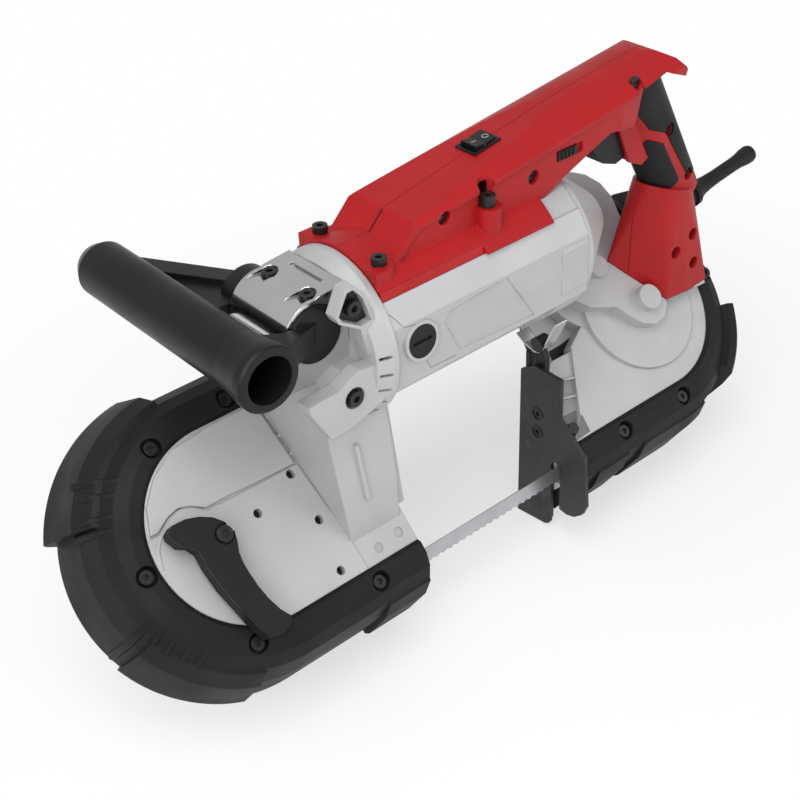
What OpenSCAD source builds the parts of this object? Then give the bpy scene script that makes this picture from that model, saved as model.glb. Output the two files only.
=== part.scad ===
// Portable band saw. The origin is the point where the middle of the cutting blade
// passes the face of the work stop. X runs along the blade from the idler end to the
// drive end, Y points away from the motor side, and Z is up: the saw cuts downwards.

/* [Blade and wheels] */
// Length of the blade loop, along its middle
blade_length = 1139.8; // [1130:0.1:1150]
// Width of the blade band, tooth tip to back
blade_w = 12.7; // [10:0.1:13]
// Thickness of the blade band
blade_t = 0.6; // [0.5:0.05:0.8]
// Distance from tooth to tooth
tooth_pitch = 6; // [5:0.5:12]
// Depth of a tooth gullet
tooth_h = 1.6; // [1:0.1:2.5]
// Distance between the two wheel axles
wheel_gap = 337; // [334:0.5:340]
// Lean of the wheels away from upright, turned about the blade line
wheel_tilt = 45; // [44:0.5:46]
// Depth of the blade's middle under the face of the wheel covers
blade_drop = 33; // [32:0.5:35]
// Width of a wheel and its tyre
wheel_w = 14; // [13:0.5:15]
// Thickness of a rubber tyre
tyre_t = 2.5; // [1.5:0.1:3.5]
// Radius of a wheel hub
hub_r = 17; // [15:0.5:20]
// Radius of the wheel axles
axle_r = 6; // [5:0.5:7]

/* [Frame] */
// Distance from the idler axle to the face of the work stop
idler_to_stop = 229; // [222:1:236]
// Radius of the bright face of a wheel cover
face_r = 60.6; // [58:0.2:62]
// Room between the blade loop and the cast rim around it
rim_room = 4.9; // [4.4:0.1:5.4]
// Wall of the cast rim
rim_wall = 4; // [3:0.5:5]
// Depth of the rim under the cover face
rim_depth = 58; // [50:1:60]
// Depth of the ledge that the bumpers sit on
ledge = 10; // [8:0.5:12]
// Thickness of the cover plates over the wheels
plate_t = 15; // [13:0.5:16]
// Length of the bottom straight on the idler cover
idler_run = 93; // [88:1:96]

/* [Motor] */
// Radius of the motor housing
barrel_r = 48; // [46:0.5:50]
// Height of the motor axis over the idler axle
barrel_z = 92; // [90:1:96]
// Set-back of the motor axis behind the idler axle
barrel_y = 6; // [3:1:9]
// Front end of the motor housing, ahead of the idler axle
barrel_x0 = 71; // [68:1:74]
// Rear end of the motor housing
barrel_x1 = 240; // [236:1:243]
// Wall of the motor housing
barrel_wall = 4; // [3:0.5:5]
// Radius of the motor shaft
shaft_r = 5; // [4:0.5:6]

/* [Gears] */
// Tooth size of the spur gears
gear_module = 1.5; // [1.4:0.05:1.55]
// Teeth on the output gear
output_teeth = 48; // [44:1:48]
// Teeth on the small intermediate gear
small_teeth = 10; // [10:1:12]
// Teeth on the large intermediate gear
large_teeth = 46; // [42:1:46]
// Teeth on the bevel shaft's pinion
pinion_teeth = 14; // [12:1:15]
// Teeth on the bevel gear
bevel_teeth = 34; // [30:2:36]
// Teeth on the motor's bevel pinion
motor_teeth = 10; // [9:1:12]
// Tooth size of the bevel gears
bevel_module = 1; // [0.9:0.05:1.1]

/* [Front handle] */
// Radius of the grip bar
grip_r = 17; // [15:0.5:18]
// Length of the grip bar
grip_len = 172; // [160:1:180]
// Radius of the hub that the clamp holds
hub_bar_r = 17; // [15:0.5:18]
// Wall of the handle clamp
clamp_wall = 3.5; // [3:0.5:4]

/* [Work stop and guides] */
// Thickness of the work stop plate
stop_t = 3; // [2.5:0.5:4]
// Width of the blade slot in the work stop
slot_w = 8; // [6:0.5:9]
// Radius of the rollers beside the blade
roller_r = 4.5; // [4:0.1:4.8]
// Radius of the rollers behind the blade
back_roller_r = 7; // [6:0.5:7]
// Gap between a roller and the blade
guide_gap = 0.1; // [0.05:0.01:0.15]

/* [Top handle] */
// Half width of the top handle
cap_half = 28.5; // [27.5:0.5:29]
// Wall of the handle shells
shell_wall = 3; // [2.5:0.5:4]
// Travel of the trigger
trigger_travel = 6; // [4:0.5:7]

/* [Fits] */
// Clearance around a turning shaft
run_fit = 0.05; // [0.03:0.01:0.1]
// Gap between pieces that pass each other
gap = 0.3; // [0.25:0.05:0.5]
// Clearance around a screw
screw_fit = 0.2; // [0.1:0.05:0.4]

/* [Hidden] */
$fn = 72;
wheel_r = (blade_length - 2 * wheel_gap) / (2 * PI);
tool_y = wheel_r * cos(wheel_tilt) - blade_drop * sin(wheel_tilt);
tool_z = wheel_r * sin(wheel_tilt) + blade_drop * cos(wheel_tilt);
tyre_outer = wheel_r - blade_t / 2 - gap;
tyre_inner = tyre_outer - tyre_t;
rim_r = wheel_r + rim_room + rim_wall;
bearing_r = axle_r + 6;
teeth_count = round(blade_length / tooth_pitch);
tooth_step = blade_length / teeth_count;
twist_run = 62;
front_guide_x = idler_run - 16;
guide_half = 10.5;
rear_guide_x = 262;
side_roller_dx = 5.5;
back_roller_dx = 4.5;
pin_r = 2;
guide_y = 10;
// Where the motor axis runs, seen square to the wheel covers
motor_v = (barrel_y + barrel_z) * cos(wheel_tilt);
motor_w = (barrel_z - barrel_y) * sin(wheel_tilt);
train_angle = 125;
mid_u = wheel_gap + gear_module * (output_teeth + small_teeth) / 2 * cos(train_angle);
mid_v = gear_module * (output_teeth + small_teeth) / 2 * sin(train_angle);
pinion_gap = gear_module * (large_teeth + pinion_teeth) / 2;
bevel_u = mid_u - sqrt(pow(pinion_gap, 2) - pow(motor_v - mid_v, 2));
bevel_angle = atan2(motor_v - mid_v, bevel_u - mid_u);
bevel_r = bevel_module * bevel_teeth / 2;
bevel_pinion_r = bevel_module * motor_teeth / 2;
case_bottom = -21;
low_gear_w = -20.5;
low_gear_h = 8;
high_gear_w = -11.5;
high_gear_h = 6;
gear_roof = -4.5;
mid_shaft_r = 4;
stop_screw_z = [-33.7, -48.6];
ear_y = 42;
// Side, x, height and seat of each bolt in the bell's ears
ear_bolts = [[-1, 63.6, 131.5, ear_y - 5], [-1, 55.6, 79.8, 43.8], [1, 55.6, 79.8, 43.8]];
cover_pins = [[66.9, -52.8], [74.8, -28.2], [84, -50.9]];
lever_u = -21.6;
lever_v = -0.9;
cam_arm = 4.5;
cam_r = 4;
slide_travel = 8.9;
slide_t = 5.4;
hub_x = 47;
hub_z = 116;
hub_half = 27;
grip_x = -2;
grip_z = 122;
grip_near = -46;
clamp_half = 25;
bell_end = 84;
head_r = 21;
brush_x = 103.6;
brush_lift = 5.5;
stator_x0 = 118;
stator_x1 = 170;
flange_top = 141;
clamp_seat = hub_z + hub_bar_r + 1.2;
bell_r = barrel_r + 4;
base_r = 53.5;
collar_r = barrel_r + 2;
collar_x = 217;
band_half = cap_half - 1.5;
crown_r = 41;
taper_x = 290;
nose_x = 324.5;
nose_r = 23;
leg_r = 15.5;
leg_flat = 3.5;
leg_lean = 27.65;
rocker_x = 194;
rocker_z = 170.4;
screw_r = 2.2;
screw_head_r = 4.2;

// Outlines, in millimetres from the idler axle
front_screws = [[26.6, 69.1], [-29.3, 62.4], [-68.5, -0.8], [-30, -64.1], [56.7, -70.6]];
rear_screws = [[333.9, -71.5], [274.1, -70.7], [362.8, 64.5], [411.8, -3.5]];
bumper_profile = [[face_r, -ledge], [face_r, 0], [63, 2.2], [70, 1.8], [78, -2], [rim_r + 2, -10],
  [91, -28], [95.5, -62], [rim_r, -62], [rim_r, -ledge]];
lug_profile = [[84, -9], [88, -10], [96, -25], [104, -60], [101, -63], [90, -63]];
low_lug_profile = [[84, -10], [87, -11], [93.5, -25], [99, -56], [98, -62], [88, -62]];
high_lug_profile = [[79, -8], [79, -4], [83, 0.4], [88, 0.4], [91, -3], [96, -20], [101, -48],
  [97, -61], [88, -61], [87, -12]];
end_lug_profile = [[rim_r + gap, -11], [92, -11.5], [98, -20], [104, -58], [101, -61], [rim_r + gap, -61]];
cap_side = [[84.5, 134], [96, 138], [104.8, 141], [112, 148], [120.4, 156.5], [152, 162.3],
  [180, 167.8], [212, 173.5], [246, 179.8], [272, 183], [299, 186.5], [326, 190], [336, 189],
  [343, 185], [347.5, 178], [346, 174], [330, 180.5], [300, 175], [277, 170.5], [232, 164],
  [184, 158.5], [123, 151], [114, 144], [104, 134]];
band_side = [[84.5, 124], [84.5, 136], [104.8, 139], [112, 146], [120, 153], [184, 160], [277, 172],
  [312, 178], [306, 158], [303, 153], [280, 157], [271, 154], [238, 141.6], [222, 134], [200, 120]];
band_room = [[126, 141], [126, 148], [152, 157], [212, 168], [272, 178], [326, 185], [326, 178],
  [304, 171], [300, 161], [280, 161], [268, 157], [238, 146], [222, 140], [200, 126], [150, 126]];
hump_side = [[298, 178], [301, 158], [318, 118], [330, 112], [342, 118], [346, 146], [334, 172]];
pad_high = [[306, 170], [331, 138], [347, 131], [352, 122], [369, 96], [373, 91], [402, 91],
  [402, 184], [331, 181]];
pad_low = [[332, 130], [344, 124.5], [363, 92], [353, 84], [330, 84], [300, 100], [300, 121.5],
  [313, 121.5], [326, 122]];
mount_foot = [[324.5, 36], [334, 21.5], [344.3, 7.5], [354, -7.1], [374, -8.8], [395, -7.8], [398, 10],
  [394, 28], [385, 40], [350, 48]];
stop_outline = [[4.7, -4.2], [-7.8, 4], [-23.7, 2.9], [-31.7, 2.9], [-31.4, -28.2],
  [-54.4, -47.7], [-57.4, -87.7], [-54, -96], [-47, -102], [-40, -104], [-33.1, -103], [-30, -100],
  [-25.1, -112], [-25.1, -118], [-23, -122], [-19.6, -123.7], [7.2, -126.3]];
lever_outline = [[-51, 12], [-50.5, 14.8], [-46.5, 17.2], [-38.4, 17], [-30, 14.5], [-23, 10.5],
  [-18, 5], [-15.5, -2], [-17, -8], [-19.5, -14], [-20.3, -21], [-20, -28.2], [-19.2, -36], [-17.5, -44.6],
  [-14.4, -53.4], [-10.1, -60.3], [-13.6, -63.6], [-19.4, -66.2], [-27.9, -64], [-31.6, -56.2],
  [-35.1, -41.4], [-38.6, -26.7], [-40.1, -13.1], [-40, -3], [-43, 2], [-48, 5]];
trigger_outline = [[281, 150], [284, 140], [289, 131], [296, 124], [308, 119.5], [316, 121.5],
  [316, 152], [300, 158], [286, 156]];
gear_bump = [[258, 50], [275, 32], [292, 13], [303, 8.5], [312, 5], [318, -5], [325, -13.5], [335, -18.5],
  [345, -17], [353, -10], [354, -4], [349, 10], [344, 25], [350, 37], [354, 48], [356, 63], [358, 75],
  [355, 87], [347, 97], [335, 104], [318, 107], [296, 104], [270, 96], [258, 88]];
step_edge = [[232, -100], [232, -61], [248, -46], [259, -24], [270, -3], [300, 13], [304, 23],
  [290, 60], [290, 100], [430, 100], [430, -100]];

module tool() {
  translate([-idler_to_stop, tool_y, tool_z])
    children();
}

module deck() {
  tool()
    rotate([wheel_tilt, 0, 0])
      children();
}

module motor_line(x) {
  tool()
    translate([x, barrel_y, barrel_z])
      rotate([0, 90, 0])
        children();
}

// A side outline drawn as x and height, spread evenly about the middle of the handle
module side_slab(half) {
  tool()
    translate([0, barrel_y + half, 0])
      rotate([90, 0, 0])
        linear_extrude(2 * half)
          children();
}

module side_pin(x, z, r, y0, y1) {
  tool()
    translate([x, y1, z])
      rotate([90, 0, 0])
        cylinder(r = r, h = y1 - y0);
}

module ring(outer, inner, h) {
  difference() {
    cylinder(r = outer, h = h);
    translate([0, 0, -1])
      cylinder(r = inner, h = h + 2);
  }
}

module idler_plan(r) {
  circle(r);
  polygon([[0, -r], [idler_run, -r], [idler_run, 0], [100, 30], [100, r], [0, r]]);
}

module drive_plan(r) {
  translate([wheel_gap, 0])
    circle(r);
  polygon([[idler_to_stop + stop_t, -r], [wheel_gap, -r], [wheel_gap, r], [258, r], [258, 40], [250, 20],
    [250, -15], [244, -40], [idler_to_stop + stop_t, -56]]);
}

module wheel_well(u) {
  deck()
    translate([u, 0, -rim_depth - 1])
      cylinder(r = rim_r - rim_wall, h = rim_depth + 1 - plate_t);
}

// The way that the blade takes through the frame, from one wheel to the other
module blade_way() {
  translate([-idler_to_stop + 20, -3.5, -9])
    cube([wheel_gap - 40, 7, 17]);
  deck()
    translate([-5, wheel_r - 4, -blade_drop - 9])
      cube([wheel_gap + 10, 8, 18]);
}

module guide_room(x) {
  translate([x - idler_to_stop - 12, -10, -1.3])
    cube([24, 20, 14]);
}

module front_frame() {
  color([0.74, 0.74, 0.75])
    difference() {
      union() {
        deck()
          translate([0, 0, -plate_t])
            linear_extrude(plate_t)
              idler_plan(face_r);
        deck()
          translate([0, 0, -plate_t])
            linear_extrude(plate_t - ledge)
              idler_plan(rim_r);
        deck()
          translate([0, 0, -rim_depth])
            linear_extrude(rim_depth - ledge)
              difference() {
                idler_plan(rim_r);
                circle(rim_r - rim_wall);
                translate([0, -rim_r + rim_wall])
                  square([idler_run - rim_wall, 2 * (rim_r - rim_wall)]);
              }
        front_arm();
        front_bell();
        deck()
          linear_extrude(3)
            polygon([[44, 16], [16, 17], [-6, 18], [-19, 18], [-27, 23], [-34, 25], [-42, 23],
              [-51, 18], [-56, 18], [-50, 33], [-38, 46], [-20, 56], [10, 59], [40, 59]]);
        plate_ridges();
      }
      wheel_well(0);
      deck()
        translate([0, -rim_r + rim_wall, -rim_depth - 1])
          cube([idler_run - rim_wall, 2 * (rim_r - rim_wall), rim_depth + 1 - plate_t]);
      blade_way();
      guide_room(front_guide_x);
      barrel_body(bell_end, 60);
      bell_slits();
      ear_pockets();
      plate_holes();
      deck()
        translate([lever_u, lever_v, -plate_t - 1])
          cylinder(r = axle_r + run_fit, h = plate_t + 5);
      deck()
        translate([slide_travel / 2, 0, -plate_t - 1])
          linear_extrude(1 + slide_t - 3)
            square([86 + slide_travel, 2 * (19 + gap)], center = true);
      motor_line(40)
        cylinder(r = shaft_r + 1, h = 200);
      motor_line(73)
        cylinder(r = bearing_r, h = 100);
      motor_line(80)
        cylinder(r = barrel_r - 6, h = 100);
      tool()
        translate([hub_x, barrel_y - hub_half - 1, hub_z])
          rotate([-90, 0, 0])
            cylinder(r = hub_bar_r + run_fit, h = 2 * hub_half + 2);
      tool()
        translate([hub_x - 40, barrel_y - clamp_half, hub_z])
          cube([64, 2 * clamp_half, 60]);
      for (p = front_screws)
        deck()
          translate([p[0], p[1], -plate_t - 1])
            cylinder(r = screw_r, h = plate_t + 1);
      bolt_holes();
    }
  slide_rails();
}

// Rails that hold the idler's slide up against the cover plate
module slide_rails() {
  color([0.74, 0.74, 0.75])
    deck()
      for (s = [0, 1])
        mirror([0, s, 0])
          union() {
            translate([-30, 19 + gap, -plate_t - 5.2])
              cube([60, 4, 5.2]);
            translate([-30, 16, -plate_t - 5.2])
              cube([60, 7, 1.5]);
          }
}

// Thin ribs on the idler cover, along the joint with the arm
module plate_ridges() {
  deck()
    translate([42.3, 59.2, -1])
      rotate([0, 0, -83.4])
        union() {
          cube([100.7, 1.4, 2.4]);
          for (p = [5, 23, 36, 90])
            translate([p, -2.5, 0])
              cube([2.4, 6, 2.4]);
        }
  deck()
    translate([-58, -2, -1])
      linear_extrude(2)
        polygon([[0, 0], [3, 10], [8, 16], [16, 19], [16, 20.5], [7, 17.5], [1.5, 11], [-1.5, 0]]);
  for (s = [0, 1])
    tool()
      translate([0, barrel_y, 0])
        mirror([0, s, 0])
          translate([0, -34.4, 0])
            rotate([90, 0, 0])
              linear_extrude(3.4)
                polygon([[59, 40], [62, 40], [68, -2], [65, -4]]);
}

module plate_holes() {
  for (p = [[39.3, 11.6], [8.5, 0.5], [41, -20.4], [37.1, -52.9]])
    deck()
      translate([p[0], p[1], -5])
        cylinder(r = 2.8, h = 12);
  for (p = cover_pins)
    deck()
      translate([p[0], p[1], -6])
        cylinder(r = 3, h = 10);
}

module front_arm() {
  intersection() {
    tool()
      translate([0, 40, 0])
        rotate([90, 0, 0])
          linear_extrude(70)
            polygon([[42, 50], [50, -8], [53, -36], [90, -40], [90, 4], [87, 36], [84, 60],
              [84, 92], [56, 92], [44, 84]]);
    deck()
      translate([0, -rim_r, -plate_t])
        cube([200, 2 * rim_r, 150]);
  }
  hull() {
    deck()
      translate([52, -36, -3])
        cube([46, 92, 3], $fn = 12);
    motor_line(72)
      cylinder(r = 30, h = 14, $fn = 32);
  }
}

module front_bell() {
  motor_line(71)
    cylinder(r1 = barrel_r, r2 = bell_r, h = 9);
  motor_line(80)
    cylinder(r = bell_r, h = bell_end - 80);
  // Cradle of the front handle, with the lower half of the clamp
  difference() {
    tool()
      translate([hub_x - hub_bar_r - 3.5, barrel_y - hub_half + 2, hub_z - hub_bar_r - 14])
        cube([44, 2 * hub_half - 4, 14 + hub_bar_r]);
    tool()
      translate([hub_x - 60, barrel_y - 40, hub_z])
        cube([84, 80, 60]);
  }
  tool()
    translate([0, barrel_y - ear_y + 9, 0])
      rotate([90, 0, 0])
        linear_extrude(9)
          polygon([[49.9, 131.4], [57.4, 146.4], [63.5, 146.6], [70.2, 138.1], [76.4, 119], [84, 112],
            [84, 92], [70, 100], [66.1, 117.9], [52, 127.1]]);
  for (s = [-1, 1])
    tool()
      translate([0, barrel_y + s * 41 + 5, 0])
        rotate([90, 0, 0])
          linear_extrude(10)
            polygon([[24.3, 88.3], [25.1, 82.9], [38, 59.8], [52, 61], [74.8, 68], [84, 74],
              [84, 92], [60, 96], [46.2, 89]]);
}

// Slits in the bell that the motor's cooling air leaves through
module bell_slits() {
  for (a = [0:5])
    motor_line(72.5)
      rotate([0, 0, 58 - a * 13])
        translate([-1, -bell_r - 3, 0])
          cube([2, 12, 7]);
}

// Pockets around the heads of the screws in the bell's ears
module ear_pockets() {
  tool()
    translate([0, barrel_y - ear_bolts[0][3], 0])
      rotate([90, 0, 0])
        linear_extrude(9)
          polygon([[52, 132], [58.5, 144], [63, 144.2], [68.8, 137], [74.2, 120.6], [67, 119.8], [54, 128]]);
  for (p = [ear_bolts[1], ear_bolts[2]])
    bolt_line(p)
      cylinder(r = 6.6, h = 6);
}

module bolt_line(p) {
  tool()
    translate([p[1], barrel_y + p[0] * p[3], p[2]])
      rotate([-90 * p[0], 0, 0])
        children();
}

module bolt_holes() {
  for (p = ear_bolts)
    bolt_line(p)
      translate([0, 0, -14])
        cylinder(r = 2.5, h = 15);
}

module frame_bolts() {
  color([0.75, 0.75, 0.77])
    for (p = ear_bolts)
      bolt_line(p)
        union() {
          socket_head();
          translate([0, 0, -4])
            cylinder(r = 2.5, h = 4.5);
        }
}

module socket_head() {
  difference() {
    cylinder(r = 4.8, h = 4);
    translate([0, 0, 1.6])
      cylinder(r = 2.3, h = 3, $fn = 6);
  }
}

// Pins pressed into the idler cover
module cover_dowels() {
  color([0.65, 0.65, 0.67])
    for (p = cover_pins)
      deck()
        translate([p[0], p[1], -6])
          cylinder(r = 3, h = 5.4);
}

module gear_plan() {
  translate([wheel_gap, 0])
    circle(46.5);
  translate([mid_u, mid_v])
    circle(40);
  translate([bevel_u, motor_v])
    circle(head_r + 4);
}

module rear_frame() {
  color([0.74, 0.74, 0.75])
    difference() {
      union() {
        deck()
          translate([0, 0, -plate_t])
            linear_extrude(plate_t)
              intersection() {
                drive_plan(face_r);
                polygon(step_edge);
              }
        deck()
          translate([0, 0, -plate_t])
            linear_extrude(plate_t - ledge)
              drive_plan(rim_r);
        deck()
          translate([0, 0, -rim_depth])
            linear_extrude(rim_depth - ledge)
              difference() {
                drive_plan(rim_r);
                translate([wheel_gap, 0])
                  circle(rim_r - rim_wall);
                translate([idler_to_stop + stop_t + rim_wall, -rim_r + rim_wall])
                  square([wheel_gap - idler_to_stop, 2 * (rim_r - rim_wall)]);
              }
        // Block that the work stop and the guide are screwed to
        intersection() {
          tool()
            translate([idler_to_stop + stop_t, -19, -58])
              cube([248 - idler_to_stop - stop_t, 18, 70]);
          deck()
            translate([0, -rim_r, -90])
              cube([400, 2 * rim_r, 90 - plate_t + 1]);
        }
        // Short steps down the edge beside the work stop
        for (i = [0:4])
          deck()
            translate([246 - 3.3 * i, -22 - 6.6 * i, -plate_t])
              cube([16, 3, plate_t - 4]);
        deck()
          translate([0, 0, -plate_t])
            linear_extrude(plate_t - 6.5)
              polygon([[247, -18], [262, -18], [249, -49], [234, -49]]);
        deck()
          translate([0, 0, -1])
            linear_extrude(13)
              polygon([[357, -8], [394, -10], [396, 4], [392, 24], [384, 38], [357, 44], [358, 10]]);
      }
      wheel_well(wheel_gap);
      deck()
        translate([0, 0, -plate_t - 10])
          linear_extrude(40)
            gear_plan();
      blade_way();
      guide_room(rear_guide_x);
      for (p = rear_screws)
        deck()
          translate([p[0], p[1], -plate_t - 1])
            cylinder(r = screw_r, h = plate_t + 1);
      stop_screw_holes();
      motor_line(200)
        cylinder(r = 52, h = 60);
    }
}

module stop_screw_holes() {
  for (z = stop_screw_z)
    tool()
      translate([idler_to_stop - 1, -11, z])
        rotate([0, 90, 0])
          cylinder(r = screw_r, h = 14 + stop_t);
}

module gear_case() {
  color([0.74, 0.74, 0.75])
    difference() {
      union() {
        deck()
          translate([0, 0, case_bottom])
            linear_extrude(-case_bottom)
              gear_plan();
        deck()
          linear_extrude(3)
            translate([wheel_gap, 0])
              circle(46.5);
        deck()
          linear_extrude(12)
            polygon(gear_bump);
        deck()
          translate([0, 0, -ledge])
            linear_extrude(ledge + 1)
              intersection() {
                polygon(gear_bump);
                translate([262, 62])
                  square([88, 50]);
              }
        deck()
          translate([wheel_gap, 0, 0])
            cylinder(r = 17, h = 8);
        deck()
          translate([wheel_gap, 0, 0])
            cylinder(r = 9, h = 19);
        deck()
          translate([mid_u, mid_v, 0])
            cylinder(r = 8, h = 17);
        hull() {
          motor_line(barrel_x1)
            cylinder(r = barrel_r, h = 5, $fn = 64);
          deck()
            translate([bevel_u, motor_v, 2])
              cylinder(r = head_r, h = motor_w - 5, $fn = 48);
        }
      }
      deck()
        translate([wheel_gap, 0, case_bottom - 1])
          cylinder(r = gear_module * (output_teeth / 2 + 1) + 1.5, h = gear_roof - case_bottom + 1);
      deck()
        translate([mid_u, mid_v, case_bottom - 1])
          cylinder(r = gear_module * (large_teeth / 2 + 1) + 1.5, h = gear_roof - case_bottom + 1);
      deck()
        translate([bevel_u, motor_v, case_bottom - 1])
          cylinder(r = gear_module * (pinion_teeth / 2 + 1) + 1.5, h = gear_roof - case_bottom + 1);
      deck()
        translate([wheel_gap, 0, gear_roof - 1])
          cylinder(r = bearing_r, h = 9);
      deck()
        translate([wheel_gap, 0, gear_roof])
          cylinder(r = axle_r + 1, h = 14);
      deck()
        translate([mid_u, mid_v, gear_roof - 1])
          cylinder(r = mid_shaft_r + run_fit, h = 13);
      deck()
        translate([bevel_u, motor_v, gear_roof - 1])
          cylinder(r = shaft_r + run_fit, h = motor_w);
      deck()
        translate([bevel_u, motor_v, motor_w - bevel_pinion_r - 14])
          cylinder(r = bevel_r + 1.5, h = bevel_pinion_r + 9);
      motor_line(barrel_x1 - 1)
        cylinder(r = bevel_pinion_r + 3, h = bevel_u - barrel_x1 - 2);
      motor_line(barrel_x1 - 1)
        cylinder(r = bearing_r, h = 7);
      blade_way();
    }
}

module gear_cover() {
  color([0.5, 0.5, 0.52])
    difference() {
      deck()
        translate([0, 0, case_bottom - 2.5])
          linear_extrude(2.5)
            union() {
              translate([wheel_gap, 0])
                circle(44);
              translate([mid_u, mid_v])
                circle(38);
              translate([bevel_u, motor_v])
                circle(14);
            }
      deck()
        translate([wheel_gap, 0, case_bottom - 3])
          cylinder(r = bearing_r, h = 4);
      deck()
        translate([mid_u, mid_v, case_bottom - 3])
          cylinder(r = mid_shaft_r + run_fit, h = 4);
      deck()
        translate([bevel_u, motor_v, case_bottom - 3])
          cylinder(r = shaft_r + run_fit, h = 4);
      blade_way();
    }
}

module barrel_section() {
  circle(barrel_r);
  for (s = [0, 1])
    mirror([0, s])
      polygon([[0, 0], [24, 0], [24, -41.5], [21, -47.5], [-19, -47.5], [-33, -39], [-36, 0]]);
}

module barrel_body(x, length) {
  motor_line(x)
    linear_extrude(length)
      barrel_section();
}

// Collar at the rear end of the motor housing
module housing_collar(grow) {
  intersection() {
    motor_line(collar_x - grow)
      cylinder(r = collar_r + grow, h = barrel_x1 - collar_x + 2 * grow);
    tool()
      translate([0, barrel_y - barrel_r - grow, 0])
        cube([400, 2 * (barrel_r + grow), 200]);
  }
}

module motor_housing() {
  color([0.7, 0.7, 0.71])
    difference() {
      union() {
        barrel_body(bell_end, barrel_x1 - bell_end);
        housing_collar(0);
      }
      motor_line(bell_end - 1)
        cylinder(r = barrel_r - barrel_wall, h = barrel_x1 - bell_end - 7);
      motor_line(bell_end)
        cylinder(r = shaft_r + 3, h = barrel_x1 - bell_end + 1);
      for (s = [0, 1])
        brush_line(s)
          union() {
            cylinder(r = 9, h = 12);
            translate([0, 0, 5])
              cylinder(r = 12, h = 12);
          }
      tool()
        translate([0, barrel_y - 46.8, 0])
          rotate([90, 0, 0])
            linear_extrude(10)
              polygon([[126.5, 106], [121.8, 99.4], [133, 76.7], [194.2, 73.5], [171.3, 109]]);
    }
}

module brush_line(side) {
  tool()
    translate([brush_x, barrel_y, barrel_z])
      rotate([side * 180 - brush_lift, 0, 0])
        rotate([90, 0, 0])
          translate([0, 0, barrel_r - 8])
            children();
}

module brush_caps() {
  color([0.12, 0.12, 0.12])
    for (s = [0, 1])
      brush_line(s)
        difference() {
          union() {
            cylinder(r = 9, h = 5);
            translate([0, 0, 5])
              cylinder(r = 12, h = 4);
          }
          translate([-7, -1.1, 7.6])
            cube([14, 2.2, 3]);
        }
}

module brushes() {
  color([0.2, 0.2, 0.2])
    for (s = [0, 1])
      tool()
        translate([brush_x, barrel_y, barrel_z])
          rotate([s * 180 - brush_lift, 0, 0])
            translate([-4, -barrel_r + 8, -3])
              cube([8, barrel_r - 8 - 14.3, 6]);
}

module blade_guard() {
  color([0.12, 0.12, 0.12])
    difference() {
      deck()
        translate([100, wheel_r - 10, -blade_drop - 12])
          cube([158, 20, 24]);
      deck()
        translate([99, wheel_r - 6, -blade_drop - 13])
          cube([160, 12, 21]);
      motor_line(60)
        cylinder(r = 50, h = 250);
    }
}

module bumper_run(u0, u1, side) {
  translate([u0, 0, 0])
    mirror([0, side, 0])
      rotate([90, 0, 90])
        linear_extrude(u1 - u0)
          children();
}

module screw_pockets(points) {
  for (p = points)
    translate([p[0], p[1], -4])
      union() {
        cylinder(r = 6.2, h = 10);
        translate([0, 0, -8])
          cylinder(r = screw_r, h = 9);
      }
}

module front_bumper() {
  color([0.1, 0.1, 0.1])
    difference() {
      deck()
        difference() {
          union() {
            rotate([0, 0, 90])
              rotate_extrude(angle = 180)
                polygon(bumper_profile);
            bumper_run(0, idler_run, 1)
              polygon(bumper_profile);
            bumper_run(0, 44, 0)
              polygon(bumper_profile);
            rotate([0, 0, 96])
              rotate_extrude(angle = 58)
                polygon(lug_profile);
            rotate([0, 0, 203])
              rotate_extrude(angle = 47)
                polygon(low_lug_profile);
            bumper_run(60, idler_run, 1)
              polygon(low_lug_profile);
          }
          screw_pockets(front_screws);
        }
      blade_way();
    }
}

module rear_bumper() {
  color([0.1, 0.1, 0.1])
    difference() {
      deck()
        difference() {
          union() {
            translate([wheel_gap, 0, 0])
              rotate([0, 0, -90])
                rotate_extrude(angle = 162)
                  polygon(bumper_profile);
            bumper_run(idler_to_stop + stop_t + 2, wheel_gap, 1)
              polygon(bumper_profile);
            bumper_run(246, 276, 1)
              polygon(low_lug_profile);
            bumper_run(292, wheel_gap, 1)
              polygon(low_lug_profile);
            translate([wheel_gap, 0, 0])
              union() {
                rotate([0, 0, -90])
                  rotate_extrude(angle = 14)
                    polygon(low_lug_profile);
                rotate([0, 0, -57])
                  rotate_extrude(angle = 35)
                    polygon(high_lug_profile);
                rotate([0, 0, 44])
                  rotate_extrude(angle = 12)
                    polygon(high_lug_profile);
                rotate([0, 0, 70])
                  rotate_extrude(angle = 18)
                    polygon(end_lug_profile);
              }
          }
          screw_pockets(rear_screws);
        }
      blade_way();
    }
}

module screws_down(points, top, h, head) {
  color([0.15, 0.15, 0.16])
    for (p = points)
      deck()
        translate([p[0], p[1], top])
          difference() {
            union() {
              translate([0, 0, -h])
                cylinder(r = screw_r, h = h);
              cylinder(r = head, h = 3);
            }
            translate([0, 0, 1.4])
              cylinder(r = 2, h = 2, $fn = 6);
          }
}

module front_bumper_screws() {
  screws_down(front_screws, -4, 10.5, screw_head_r);
}

module rear_bumper_screws() {
  screws_down(rear_screws, -4, 10.5, screw_head_r);
}

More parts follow.
